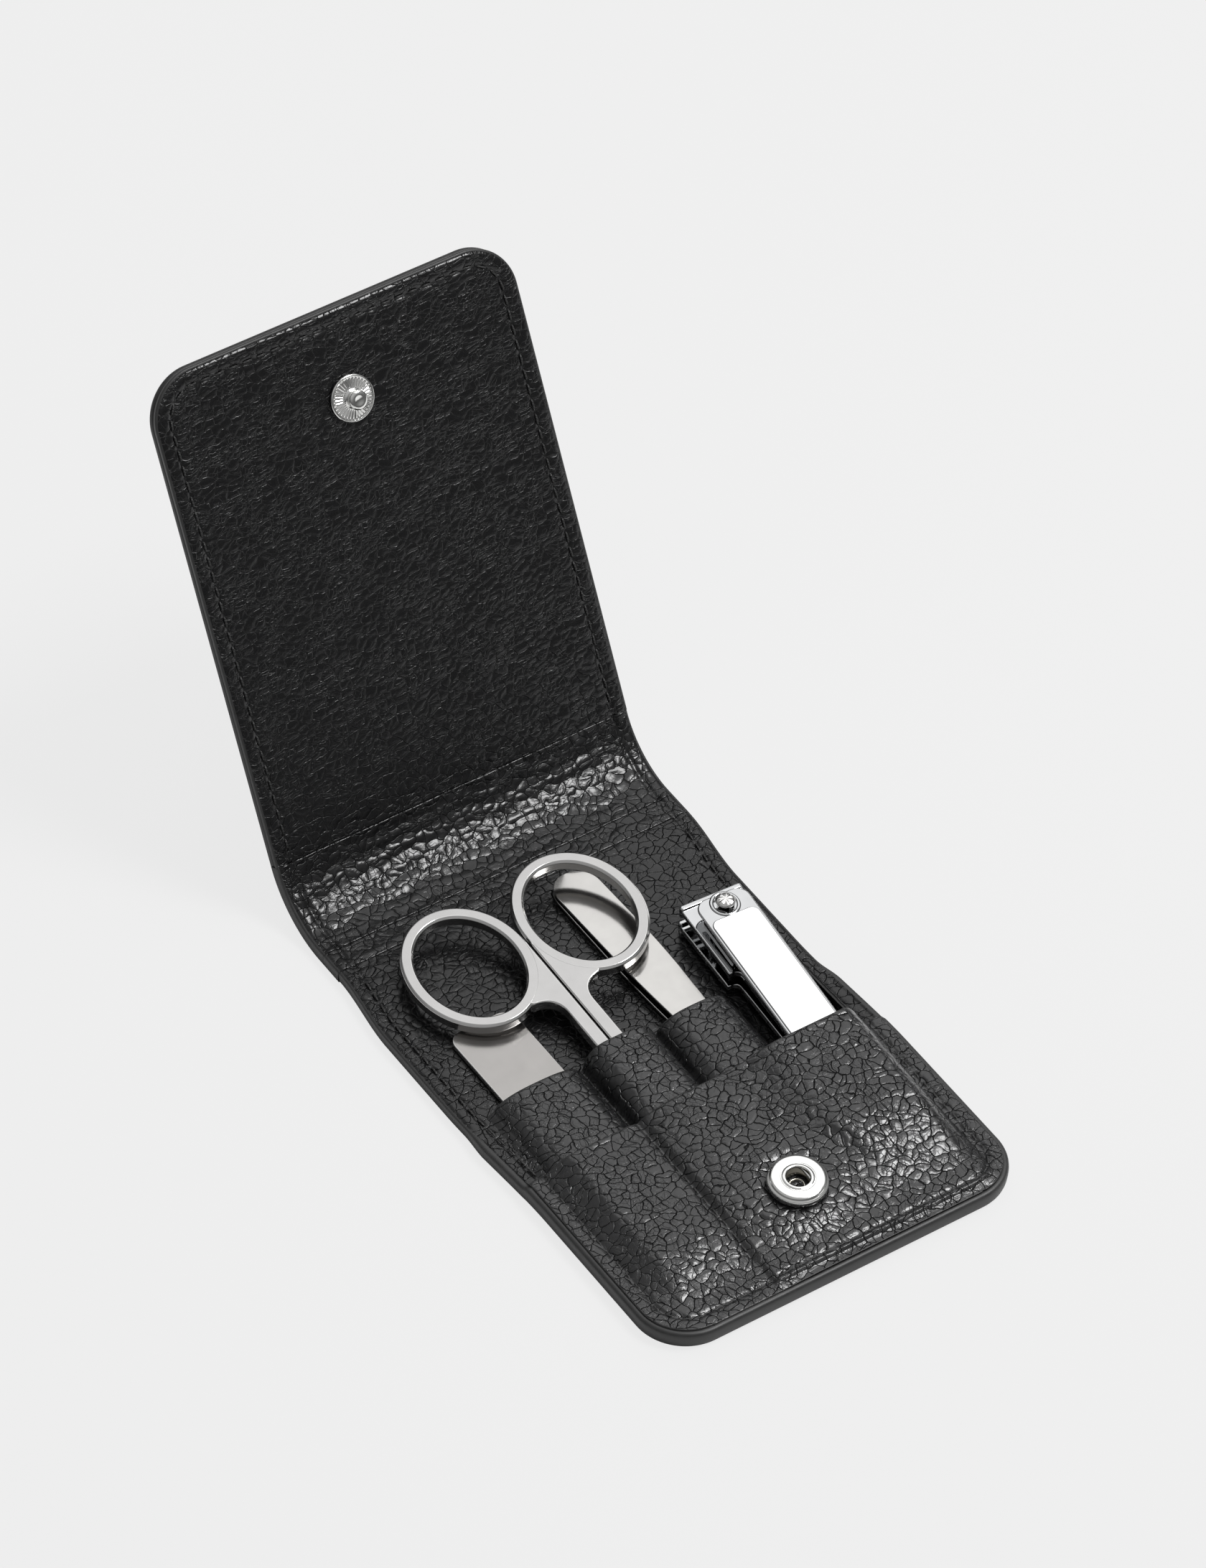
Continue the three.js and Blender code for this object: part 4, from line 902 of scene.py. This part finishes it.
def arc(x, y, radius, start, stop, steps=9):  # points on an arc or an oval's, its angles in degrees
    angles = np.radians(np.linspace(start, stop, steps))
    radii = np.broadcast_to(radius, 2)
    return np.stack([x + radii[0] * np.cos(angles), y + radii[1] * np.sin(angles)], 1)


def curveTo(start, bend, stop, steps):  # (1 - t)^2 start + 2 t (1 - t) bend + t^2 stop
    t = np.linspace(0, 1, steps)[:, None]
    return (1 - t) ** 2 * np.array(start) + 2 * t * (1 - t) * np.array(bend) + t ** 2 * np.array(stop)


def lineUp(x, start, stop, steps):  # points at one x
    return np.stack([np.full(steps, x), np.linspace(start, stop, steps)], 1)


def roundedLoop(left, right, front, back, radius):
    return np.concatenate([arc(x, y, radius, turn, turn + 90) for x, y, turn in (
        (right - radius, front + radius, -90), (right - radius, back - radius, 0),
        (left + radius, back - radius, 90), (left + radius, front + radius, 180))])


def ends(count, rings):  # the two caps of a tube of rings
    return np.stack([np.arange(count)[::-1], np.arange(count) + (rings - 1) * count])


def plate(loop, low, high, bevel, hole=0.0, faceFinish=0, edgeFinish=1):
    # A flat plate. Its edge is a quarter round of the bevel's radius below and above, at angles a:
    # inset by bevel (1 - sin a) and up by bevel (1 - cos a). A hole sits round the origin
    angles = np.linspace(0, np.pi / 2, 4)
    steps = list(zip(bevel * (1 - np.sin(angles)), bevel * (1 - np.cos(angles))))
    level = lambda flat, z: np.column_stack([flat, np.full(len(flat), z)])
    inwards = lambda inset: loop - inset * outOf(loop)
    rings = [level(inwards(inset), low + up) for inset, up in steps]
    rings += [level(inwards(inset), high - up) for inset, up in steps[::-1]]
    count = len(loop)
    if not hole:
        return np.concatenate(rings), [(gridFaces(len(rings), count, closed=True), edgeFinish, True),
                                       (ends(count, len(rings)), faceFinish, False)]
    ray = loop / np.linalg.norm(loop, axis=1, keepdims=True)
    rings += [level(ray * (hole + inset), z) for inset, z in (
        (bevel, high), (0, high - bevel), (0, low + bevel), (bevel, low))]
    faces = gridFaces(len(rings) + 1, count, closed=True) % (len(rings) * count)
    flat = np.repeat(np.isin(np.arange(len(rings)), (7, 11)), count)     # the bands of both faces
    return np.concatenate(rings), [(faces[~flat], edgeFinish, True), (faces[flat], faceFinish, False)]


def sweep(route, section, closed=False, finish=1):
    # A section of (outward, up) points carried along a level route, whose outward side is its right.
    # The finish may be one for each side of the section, in its own order
    along = np.roll(route, -1, 0) - np.roll(route, 1, 0) if closed else np.gradient(route, axis=0)
    along = along / np.linalg.norm(along, axis=1, keepdims=True)
    outward = np.stack([along[:, 1], -along[:, 0], 0 * along[:, 0]], 1)
    section = section[::-1]
    points = route[:, None] + outward[:, None] * section[None, :, :1] + [0, 0, 1] * section[None, :, 1:]
    rows, count = points.shape[:2]
    points = points.reshape(-1, 3)
    if closed:
        faces = (gridFaces(rows + 1, count, closed=True) % len(points)).reshape(rows, count, 4)
        kinds = np.roll(np.broadcast_to(finish, count)[::-1], -1)
        return points, [(faces[:, kinds == kind].reshape(-1, 4), kind, True) for kind in np.unique(kinds)]
    return points, [(gridFaces(rows, count, closed=True), finish, True), (ends(count, rows), finish, False)]


def chamfered(a, b, c):
    # A rectangle of half sides a and b whose corners are cut by c, four points on each of its
    # eight sides to keep them flat
    corners = np.array([(a, c - b), (a, b - c), (a - c, b), (c - a, b), (-a, b - c), (-a, c - b),
                        (c - a, -b), (a - c, -b)])
    share = np.array([0.04, 0.16, 0.84, 0.96])[None, :, None]
    return blendOf(corners[:, None], np.roll(corners, -1, 0)[:, None], share).reshape(-1, 2)


def lathed(profile, sides=48, finishes=0, ripple=None, closed=False):
    # A profile of (radius, height) turned round the axis, from the bottom outwards, up and back in;
    # ripple gives each profile point's rise and the number of pleats: rise cos(pleats angle)
    profile = np.array(profile, float)
    rows = len(profile)
    angles = 2 * np.pi * np.arange(sides) / sides
    radius = np.maximum(profile[:, 0], 0.02)[:, None]
    height = profile[:, 1][:, None] + 0 * angles
    if ripple is not None:
        height = height + np.array(ripple[0])[:, None] * np.cos(ripple[1] * angles)
    points = np.stack([radius * np.cos(angles), radius * np.sin(angles), height], -1).reshape(-1, 3)
    kinds = np.repeat(np.broadcast_to(finishes, rows - (not closed)), sides)
    faces = gridFaces(rows + closed, sides, closed=True) % len(points)
    parts = [(faces[kinds == kind], kind, True) for kind in np.unique(kinds)]
    if not closed:
        parts.append((ends(sides, rows), int(kinds[-1]), False))
    return points, parts


def metalPiece(name, body, slot, solid, place, finishes, node):
    # place moves the solid's points from its own axes into the case
    points, parts = solid
    settle(makePiece(name, place(points), parts, finishes), body, slot, node)


# Nail file, tweezers and scissors

nailFile = {"corner": 2.6, "bevel": 0.16}
tweezers = {
    "x": 8.4, "front": 17.0, "back": 96.3, "leaf": 0.6, "tipHalf": 1.1, "half": 4.3, "widest": 0.77,
    "tailGap": 0.25, "tipGap": 0.5, "bow": 1.1,     # between the leaves
    "crown": 0.1, "hollow": 0.45, "hollowFrom": 75.0, "rim": 0.12,
}
scissors = {
    "pivot": (-7.8, 38.0, 4.67), "pitch": 2.9206, "roll": 3.5, "gap": 0.3,
    "ringX": 11.15, "ringY": 46.6, "innerX": 8.75, "innerY": 11.2,      # the rings' middle and opening
    "band": 2.3, "ringThick": 2.4, "ringBevel": 0.38,
    "shankWidth": 2.5, "shankThick": 2.36, "shankBevel": 0.32, "shankStart": 6.0,
    "webDrop": 4.5, "webAngle": 249.0,              # where the shank runs into its ring
    "lap": 4.0, "lapLow": 0.1, "lapHigh": 0.8, "lapBevel": 0.12, "blade": 21.0,
    "screw": [(0, -1.05), (1.7, -1.05), (2.05, -0.95), (2.1, -0.86), (1.1, -0.85), (1.1, 0.85),
              (2.1, 0.86), (2.05, 0.95), (1.7, 1.05), (0.45, 1.05), (0.3, 0.9), (0, 0.9)],
}
toolFloor = liningTop + 0.2


def asIs(points):
    return points


def makeFile():
    low, high = span("nail_file")
    loop = roundedLoop(low[0], high[0], low[1], high[1], nailFile["corner"])
    metalPiece("nail_file_plate", "file", "satin_steel", plate(loop, low[2], high[2], nailFile["bevel"]),
               asIs, [satinSteel, polishedSteel], "nail_file")


def leafPiece(name, body, under, node):
    # Half width: tip + (widest - tip) smoothstep, times sqrt(1 - (0.95 t)^2) round the tail. The top is
    # crowned by -0.1 u^2, and ground hollow near the right edge from hollowFrom towards the tip
    w = tweezers
    front, tail = w["front"], w["back"] - w["half"]
    t = np.linspace(0, 1, 14)
    y = np.concatenate([np.linspace(front, tail, 80), tail + w["half"] * np.sin(t[1:] * np.pi / 2)])
    half = blendOf(w["tipHalf"], w["half"], rise((y - front) / (w["back"] - front), 0, w["widest"]))
    half = half * np.sqrt(1 - (0.95 * np.maximum(y - tail, 0) / w["half"]) ** 2) - w["rim"]
    u = np.sin(np.linspace(-1, 1, 25) * np.pi / 2)[None]
    x = w["x"] + half[:, None] * u
    y = np.repeat(y[:, None], 25, 1)
    hollowStart = blendOf(1.0, 0.1, rise(w["hollowFrom"] - y, 0, 20))
    z = under(y) + w["leaf"] - w["crown"] * u ** 2 - w["hollow"] * np.maximum(u - hollowStart, 0)
    top, bottom = np.stack([x, y, z], -1), np.stack([x, y, under(y)], -1)
    points, faces = closeSheet(top, bottom, outOf(rimPoints(top)) * w["rim"], steps=5, squareness=0.8)
    parts = [(faces["top"], 0, True), (faces["edge"], 1, True), (faces["bottom"], 0, True)]
    metalPiece(name, body, "satin_steel", (points, parts), asIs, [palerSteel, polishedSteel], node)


def upperLeafUnder(y):
    share = (y - tweezers["front"]) / (tweezers["back"] - tweezers["front"])
    gap = blendOf(tweezers["tipGap"], tweezers["tailGap"], share) + tweezers["bow"] * np.sin(np.pi * share)
    return toolFloor + tweezers["leaf"] + gap


def scissorsHalf():
    # The right half, its screw at the origin: an oval ring of chamfered section, a shank whose web
    # runs into the ring, and a flat blade with its lap round the screw
    s = scissors
    inner, outer, start = s["gap"] / 2, s["gap"] / 2 + s["shankWidth"], s["shankStart"]
    middle = s["innerX"] + s["band"] / 2, s["innerY"] + s["band"] / 2
    oval = arc(s["ringX"], s["ringY"], middle, 0, 360, 121)[:-1]
    ring = sweep(np.column_stack([oval, np.zeros(len(oval))]),
                 chamfered(s["band"] / 2, s["ringThick"] / 2, s["ringBevel"]), closed=True,
                 finish=np.tile([0] * 4 + [1] * 4, 4))
    angle = np.radians(s["webAngle"])
    web = (s["ringX"] + (s["innerX"] + s["band"]) * np.cos(angle),
           s["ringY"] + (s["innerY"] + s["band"]) * np.sin(angle))
    webStart = web[1] - s["webDrop"]
    loop = np.concatenate([
        [(inner, start), (outer, start)], lineUp(outer, start + 1, webStart - 0.5, 12),
        curveTo((outer, webStart), (outer, web[1] - 0.2), web, 16)[:-1],
        arc(s["ringX"], s["ringY"], middle, s["webAngle"], 182, 30),
        [(inner, s["ringY"])], lineUp(inner, s["ringY"] - 2, start + 1, 20)])
    shank = plate(loop, -s["shankThick"] / 2, s["shankThick"] / 2, s["shankBevel"])
    lap = np.concatenate([
        [(0.3, -s["blade"])], [(1.0, -s["lap"] - 0.4)], arc(0, 0, s["lap"], -62, 44, 14),
        [(outer, 4.0), (outer, start + 0.5), (inner, start + 0.5)],
        arc(0, 0, s["lap"], 92, 205, 14), curveTo((-2.4, -2.6), (-2.4, -12), (-0.3, -s["blade"]), 10)])
    return joined(ring, shank, plate(lap, s["lapLow"], s["lapHigh"], s["lapBevel"]))


def atScissors(points):
    return swung(points, roll=-scissors["roll"], pitch=scissors["pitch"]) + scissors["pivot"]


def makeScissors():
    half, finishes = scissorsHalf(), [brushedSteel, polishedSteel]
    metalPiece("scissors_right", "scissors_right", "satin_steel", half, atScissors, finishes,
               "scissors_right_half")
    metalPiece("scissors_left", "scissors_left", "satin_steel", half,
               lambda points: atScissors(points * [-1, 1, -1]), finishes, "scissors_left_half")
    metalPiece("scissors_screw_pin", "scissors", "satin_steel", lathed(scissors["screw"]), atScissors,
               [polishedSteel], "scissors_screw")


makeFile()
leafPiece("tweezers_lower", "tweezers", lambda y: toolFloor + 0 * y, "tweezers_lower_leaf")
leafPiece("tweezers_upper", "tweezers_leaf", upperLeafUnder, "tweezers_upper_leaf")
makeScissors()
print("file, tweezers and scissors made")

# Nail clipper

clipper = {
    "yaw": -3.5, "tail": 54.0, "rivetY": -50.0,
    "jawReach": 5.1, "jawBack": 11.5, "jawHalf": 6.0, "lip": 1.1, "lowerLip": 0.5, "upperLip": 0.9,
    "armHalf": 4.1, "armThick": 1.1, "armHole": 2.1, "lowerZ": 3.4, "upperTailZ": 4.95, "upperTilt": 2.5485,
    "leverHalf": 5.0, "leverCorner": 2.4, "leverTail": 46.5, "leverReach": 2.4, "leverThick": 0.9,
    "leverHole": 1.9, "flangeDeep": 1.4, "flangeLong": 11.0, "flangeThick": 0.8,
    "mirrorFrom": -2.5, "mirrorInset": 0.42, "step": 0.22,
    # Turned pieces as (radius, height): the collar round the lever's hole, the post's foot and its
    # head with seven soft ripples, and the rivet's ends
    "collar": [(1.85, -0.5), (2.6, -0.5), (2.72, -0.2), (2.55, -0.04), (2.3, 0), (2.05, -0.12)],
    "postFoot": [(0, 0), (2.45, 0), (2.6, 0.15), (2.45, 0.4), (1.4, 0.45)],
    "postHead": [(1.4, -0.05), (1.55, 0), (1.7, 0.1), (1.76, 0.3), (1.66, 0.5), (1.42, 0.68), (1.0, 0.8),
                 (0.55, 0.86), (0, 0.87)],
    "postTop": 11.7, "ripple": [0.02, 0.035, 0.05, 0.05, 0.03, 0], "ripples": 7,
    "rivet": [(0, 2.95), (1.5, 2.95), (1.9, 3.15), (1.85, 3.35), (1.1, 3.35), (1.1, 6.25), (1.85, 6.25),
              (1.9, 6.4), (1.3, 6.63), (0, 6.65)],
}


def atClipper(points, pitch=0.0, origin=(0, 0, 0)):  # pitched at its own origin, then with the clipper
    return swung(swung(points, pitch=pitch) + origin, yaw=clipper["yaw"]) + [*lever["post"], 0]


def armLoop():
    # The right side from the tail's round to the front, which is straight, and back on the left
    c = clipper
    tail, shoulder, front = c["armHalf"] - c["tail"], -c["jawBack"] - 1, c["jawReach"] - 0.25
    waist, jaw, back = c["armHalf"], c["jawHalf"], -c["jawBack"]
    side = np.concatenate([lineUp(waist, tail + 1, shoulder - 0.5, 14),
                           curveTo((waist, shoulder), (waist, back), (jaw, back), 6)[:-1],
                           lineUp(jaw, back, front, 14)])
    return np.concatenate([arc(0, tail, waist, 180, 360, 17), side,
                           np.linspace((jaw - 0.4, front), (-jaw + 0.4, front), 12), side[::-1] * [-1, 1]])


def jawArm(low, lipLow, lipHigh):
    # A flat arm with a hole for the post, and a rounded lip across its front that stands off it
    c = clipper
    arm = plate(armLoop(), low, low + c["armThick"], 0.22, hole=c["armHole"])
    lip = roundedLoop(-c["jawHalf"], c["jawHalf"], c["jawReach"] - c["lip"], c["jawReach"], 0.45)
    return joined(arm, plate(lip, lipLow, lipHigh, 0.3))


def clipperPiece(name, body, solid, finishes, node, place=atClipper):
    metalPiece(name, body, "chrome", solid, place, finishes, node)


def makeLever():
    # A folded lever: a plate with the post's hole, the raised mirror face behind it in its own rim,
    # and a side flange along either edge of its head
    c = clipper
    half, thick = c["leverHalf"], c["leverThick"]
    edge = roundedLoop(-half, half, -c["leverTail"], c["leverReach"], c["leverCorner"])
    inset = half - c["mirrorInset"]
    mirror = roundedLoop(-inset, inset, c["mirrorInset"] - c["leverTail"], c["mirrorFrom"], 1.5)
    parts = [plate(edge, -thick, -c["step"], 0.28, hole=c["leverHole"], edgeFinish=0),
             # its face takes the near-white chrome, a painted highlight
             plate(mirror, -thick / 2, 0, 0.2, faceFinish=1, edgeFinish=0)]
    for left, right in ((-half, c["flangeThick"] - half), (half - c["flangeThick"], half)):
        flange = roundedLoop(left, right, -c["flangeLong"], -c["leverCorner"] / 2, 0.3)
        parts.append(plate(flange, -thick - c["flangeDeep"], -thick / 2, 0.2, faceFinish=0, edgeFinish=0))
    solid = joined(*parts, lathed(c["collar"], 56, closed=True))
    clipperPiece("clipper_lever_plate", "clipper_lever", solid, [chrome, highlightChrome], "clipper_lever",
                 lambda points: atClipper(points, lever["tilt"], (0, 0, lever["top"])))


def makeClipper():
    c = clipper
    low, rivet = c["lowerZ"], np.array([0, c["rivetY"], 0])
    clipperPiece("clipper_lower_jaw", "clipper", jawArm(low, low, low + c["armThick"] + c["lowerLip"]),
                 [chrome, chrome], "clipper_lower_arm")
    clipperPiece("clipper_upper_jaw", "clipper_arm", jawArm(0, -c["upperLip"], c["armThick"] + 0.35),
                 [chrome, chrome], "clipper_upper_arm",
                 lambda points: atClipper(points - rivet, c["upperTilt"], rivet + [0, 0, c["upperTailZ"]]))
    post = np.array(c["postFoot"] + c["postHead"])
    post[:, 1] += np.repeat([toolFloor, c["postTop"]], [len(c["postFoot"]), len(c["postHead"])])
    ripple = [0] * (len(post) - len(c["ripple"])) + c["ripple"]
    clipperPiece("clipper_post_pin", "clipper", lathed(post, 72, ripple=(ripple, c["ripples"])),
                 [polishedSteel], "clipper_post")
    clipperPiece("clipper_tail_pin", "clipper", lathed(c["rivet"]), [chrome], "clipper_tail_rivet",
                 lambda points: atClipper(points + rivet))


makeClipper()
makeLever()
print("nail clipper made")

# Snap fastener

fastener = {
    "pleats": 34, "knurls": 72, "wire": 0.28, "barX": 1.95, "barFront": 2.3, "barBack": 1.0,
    # The socket as (radius, height) over its seat: a lower outer rim, a broad flat face with a
    # knurled circle, a rolled mouth and a cavity, whose darker metal is painted shade
    "socket": [(1.9, 0.1), (4.6, 0.1), (5.0, 0.24), (5.2, 0.5), (5.22, 1.1), (5.18, 1.4), (5.05, 1.55),
               (4.85, 1.58), (4.76, 1.66), (4.7, 1.85), (4.52, 2.0), (4.2, 2.06), (3.1, 2.08), (2.98, 2.06),
               (2.86, 1.98), (2.74, 2.06), (2.5, 2.16), (2.3, 2.2), (2.12, 2.14), (2.02, 2.0), (2.04, 1.82),
               (3.5, 1.8), (3.5, 0.9), (1.9, 0.9)],
    "knurled": (13, [0.01, 0.05, 0.01]), "shadedFrom": 19,     # first point and rises; the cavity's first point, from which its darker finish is painted shade
    "post": [(0, -1.25), (3.0, -1.25), (3.2, -1.1), (3.0, -0.95), (1.5, -0.95), (1.5, -0.15), (1.42, 0),
             (1.2, 0.03), (1.02, -0.06), (0.98, -0.5), (0.6, -0.62), (0, -0.62)],
    # The stud over the lining: a rolled rim, then a pleated dish that rises to a neck, and a ball
    "studRim": [(0, 0.35), (1.5, 0.35), (1.5, 0.1), (3.8, 0.1), (4.12, 0.2), (4.2, 0.42), (4.12, 0.66),
                (3.95, 0.75), (3.78, 0.7)],
    "dish": (3.65, 1.95), "pleated": (9, [0.02, 0.07, 0.09, 0.09, 0.09, 0.08, 0.06, 0.02]),
    "studBall": [(1.72, 0.86), (1.5, 1.02), (1.38, 1.3), (1.3, 1.75), (1.32, 2.0), (1.5, 2.1), (1.7, 2.25),
                 (1.75, 2.45), (1.7, 2.66), (1.5, 2.83), (1.15, 2.9), (0.8, 2.88), (0.55, 2.78), (0, 2.74)],
    "capDome": [(0, -1.1), (2.6, -1.1), (4.2, -0.98), (5.1, -0.72), (5.5, -0.4), (5.6, -0.15), (5.45, 0),
                (1.2, 0)],                                   # from the outer leather's face
    "capShank": [(1.2, 0.3), (0.9, 0.35), (0, 0.35)],
}


def snapPiece(name, body, solid, place, node, *inside):  # inside is the darker finish of a cavity: painted shade
    metalPiece(name, body, "snap_metal", solid, place, [snapMetal, *inside], node)


def rippled(profile, first, rises):  # each profile point's rise, none but from the first given one on
    ripple = np.zeros(len(profile))
    ripple[first:first + len(rises)] = rises
    return ripple


def makeSnap():
    f = fastener
    atSocket = lambda points: swung(points, pitch=snap["tilt"]) + [snap["x"], snap["y"], snap["seat"]]
    onFlap = lambda points: flapPoints(*(points + [snap["x"], snap["stud"], 0]).T)
    ripple = rippled(f["socket"], *f["knurled"]), f["knurls"]
    # the cavity's faces take the darker metal, painted shade
    kinds = np.arange(len(f["socket"])) >= f["shadedFrom"]
    socket = lathed(f["socket"], 3 * f["knurls"], kinds.astype(int), ripple, closed=True)
    snapPiece("snap_socket_ring", "base", socket, atSocket, "snap_socket", snapCavityShade)
    height, x, front, back = 1.35, f["barX"], -f["barFront"], f["barBack"]
    route = np.concatenate([lineUp(x, front, back - 0.1, 8), arc(0, back, x, 0, 180, 25),
                            lineUp(-x, back - 0.1, front, 8)])
    route = np.column_stack([route, np.full(len(route), height)])
    wire = sweep(route, arc(0, 0, f["wire"], 0, 360, 11)[:-1], finish=0)
    snapPiece("snap_spring_wire", "base", wire, atSocket, "snap_socket_spring")
    # the post's hollow takes the darker metal too, painted shade
    snapPiece("snap_post_tube", "base", lathed(f["post"], finishes=[0] * 7 + [1] * 4), atSocket,
              "snap_socket_post", snapCavityShade)
    dish = [(radius, 0.62 + 0.1 * (f["dish"][0] - radius)) for radius in np.linspace(*f["dish"], 8)]
    stud = f["studRim"] + dish + f["studBall"]
    solid = lathed(stud, 6 * f["pleats"], ripple=(rippled(stud, *f["pleated"]), f["pleats"]))
    snapPiece("snap_stud_ring", "flap", solid, onFlap, "snap_stud")
    dome = [(radius, z - liningTop - 0.1) for radius, z in f["capDome"]]
    snapPiece("snap_cap_dome", "flap", lathed(dome + f["capShank"], 96), onFlap, "snap_cap")


makeSnap()
print("snap fastener made")

# Stage: floor, lamps and camera

view = {
    "target": (1.48, 77.64, 46.5), "distance": 1425.3, "lens": 197.8,
    "right": (0.8263, -0.5616, 0.0428), "up": (0.3795, 0.6114, 0.6943), "back": (-0.4161, -0.5574, 0.7184),
}
studio = {
    "floor": 0.848, "floorShadow": 0.08,   # how much of the floor's own light and shadow is kept
    "floorHalf": 4000,
    "skyLow": 0.12, "skyHigh": 0.5, "skySeen": 0.86,
    "lamps": {                             # place in metres, side in metres, radiance
        "overhead_softbox": ((0.40, 0.40, 0.82), 0.95, 1.05),
        "key_lamp": ((0.42, -0.19, 0.89), 0.33, 21.0),
    },
}


def placed(right, up, back, place):  # a matrix from its three axes and its place
    return Matrix([[axis[row] for axis in (right, up, back, place)] for row in range(3)] + [[0, 0, 0, 1]])


def makeCamera():
    data = bpy.data.cameras.new("photo_camera")
    data.sensor_width, data.sensor_fit, data.lens = 36, "AUTO", view["lens"]
    data.clip_start, data.clip_end = 0.05, 20
    camera = linked("photo_camera", data)
    place = toFrame(np.array(view["target"]) + view["distance"] * np.array(view["back"]))
    camera.matrix_world = placed(view["right"], view["up"], view["back"], place)
    bpy.context.scene.camera = camera


def makeFloor():
    # Pale paper. What the camera sees of it is mostly its own plain colour, so that the object's
    # shadow on it stays faint
    corners = np.array([(-1, -1, 0), (1, -1, 0), (1, 1, 0), (-1, 1, 0)]) * float(studio["floorHalf"])
    paper, tree, shader = newMaterial("pale_floor")
    shade = studio["floor"]
    cloud = addNode(tree, "ShaderNodeTexNoise", {"Vector": objectPlace(tree), "Scale": 3.0}).outputs["Fac"]
    fill(shader, {"Roughness": 0.9, "Specular IOR Level": 0.1,
                  "Base Color": rampNode(tree, cloud, (0, shade - 0.004), (1, shade + 0.004))})
    rays = addNode(tree, "ShaderNodeLightPath").outputs["Is Camera Ray"]
    plain = addNode(tree, "ShaderNodeEmission", {"Color": (shade, shade, shade, 1), "Strength": 1.0})
    mixed = addNode(tree, "ShaderNodeMixShader", {
        0: mathNode(tree, "MULTIPLY", rays, 1 - studio["floorShadow"]), 1: shader.outputs[0],
        2: plain.outputs[0]})
    fill(tree.nodes["Material Output"], {"Surface": mixed.outputs[0]})
    makePiece("floor", corners, [(np.array([[0, 1, 2, 3]]), 0, False)], [paper])


def makeSky():
    # Dim at the horizon and bright overhead; the camera sees a plain pale backdrop
    world = bpy.data.worlds.new("studio")
    bpy.context.scene.world = world
    world.use_nodes = True
    tree = world.node_tree
    tree.nodes.clear()
    way = addNode(tree, "ShaderNodeTexCoord").outputs["Generated"]
    height = addNode(tree, "ShaderNodeSeparateXYZ", {0: way}).outputs["Z"]
    sky = rangeNode(tree, height, 0.0, 0.9, studio["skyLow"], studio["skyHigh"],
                    interpolation_type="SMOOTHSTEP")
    rays = addNode(tree, "ShaderNodeLightPath").outputs["Is Camera Ray"]
    strength = rangeNode(tree, rays, 0.0, 1.0, sky, studio["skySeen"])
    light = addNode(tree, "ShaderNodeBackground", {"Color": (1, 1, 1, 1), "Strength": strength})
    addNode(tree, "ShaderNodeOutputWorld", {"Surface": light.outputs["Background"]})


def makeLamp(name, place, side, radiance):  # a square lamp facing the object: its power is pi side^2 radiance
    lamp = bpy.data.lights.new(name, "AREA")
    lamp.shape, lamp.size, lamp.energy = "SQUARE", side, np.pi * side ** 2 * radiance
    place = np.array(place)
    axis = place / np.linalg.norm(place)
    right = np.cross([0, 1, 0], axis)
    right /= np.linalg.norm(right)
    linked(name, lamp).matrix_world = placed(right, np.cross(axis, right), axis, place)


makeCamera()
makeFloor()
makeSky()
for lampName, lampFacts in studio["lamps"].items():
    makeLamp(lampName, *lampFacts)
bpy.context.scene.view_settings.view_transform = "Standard"
print("stage made")
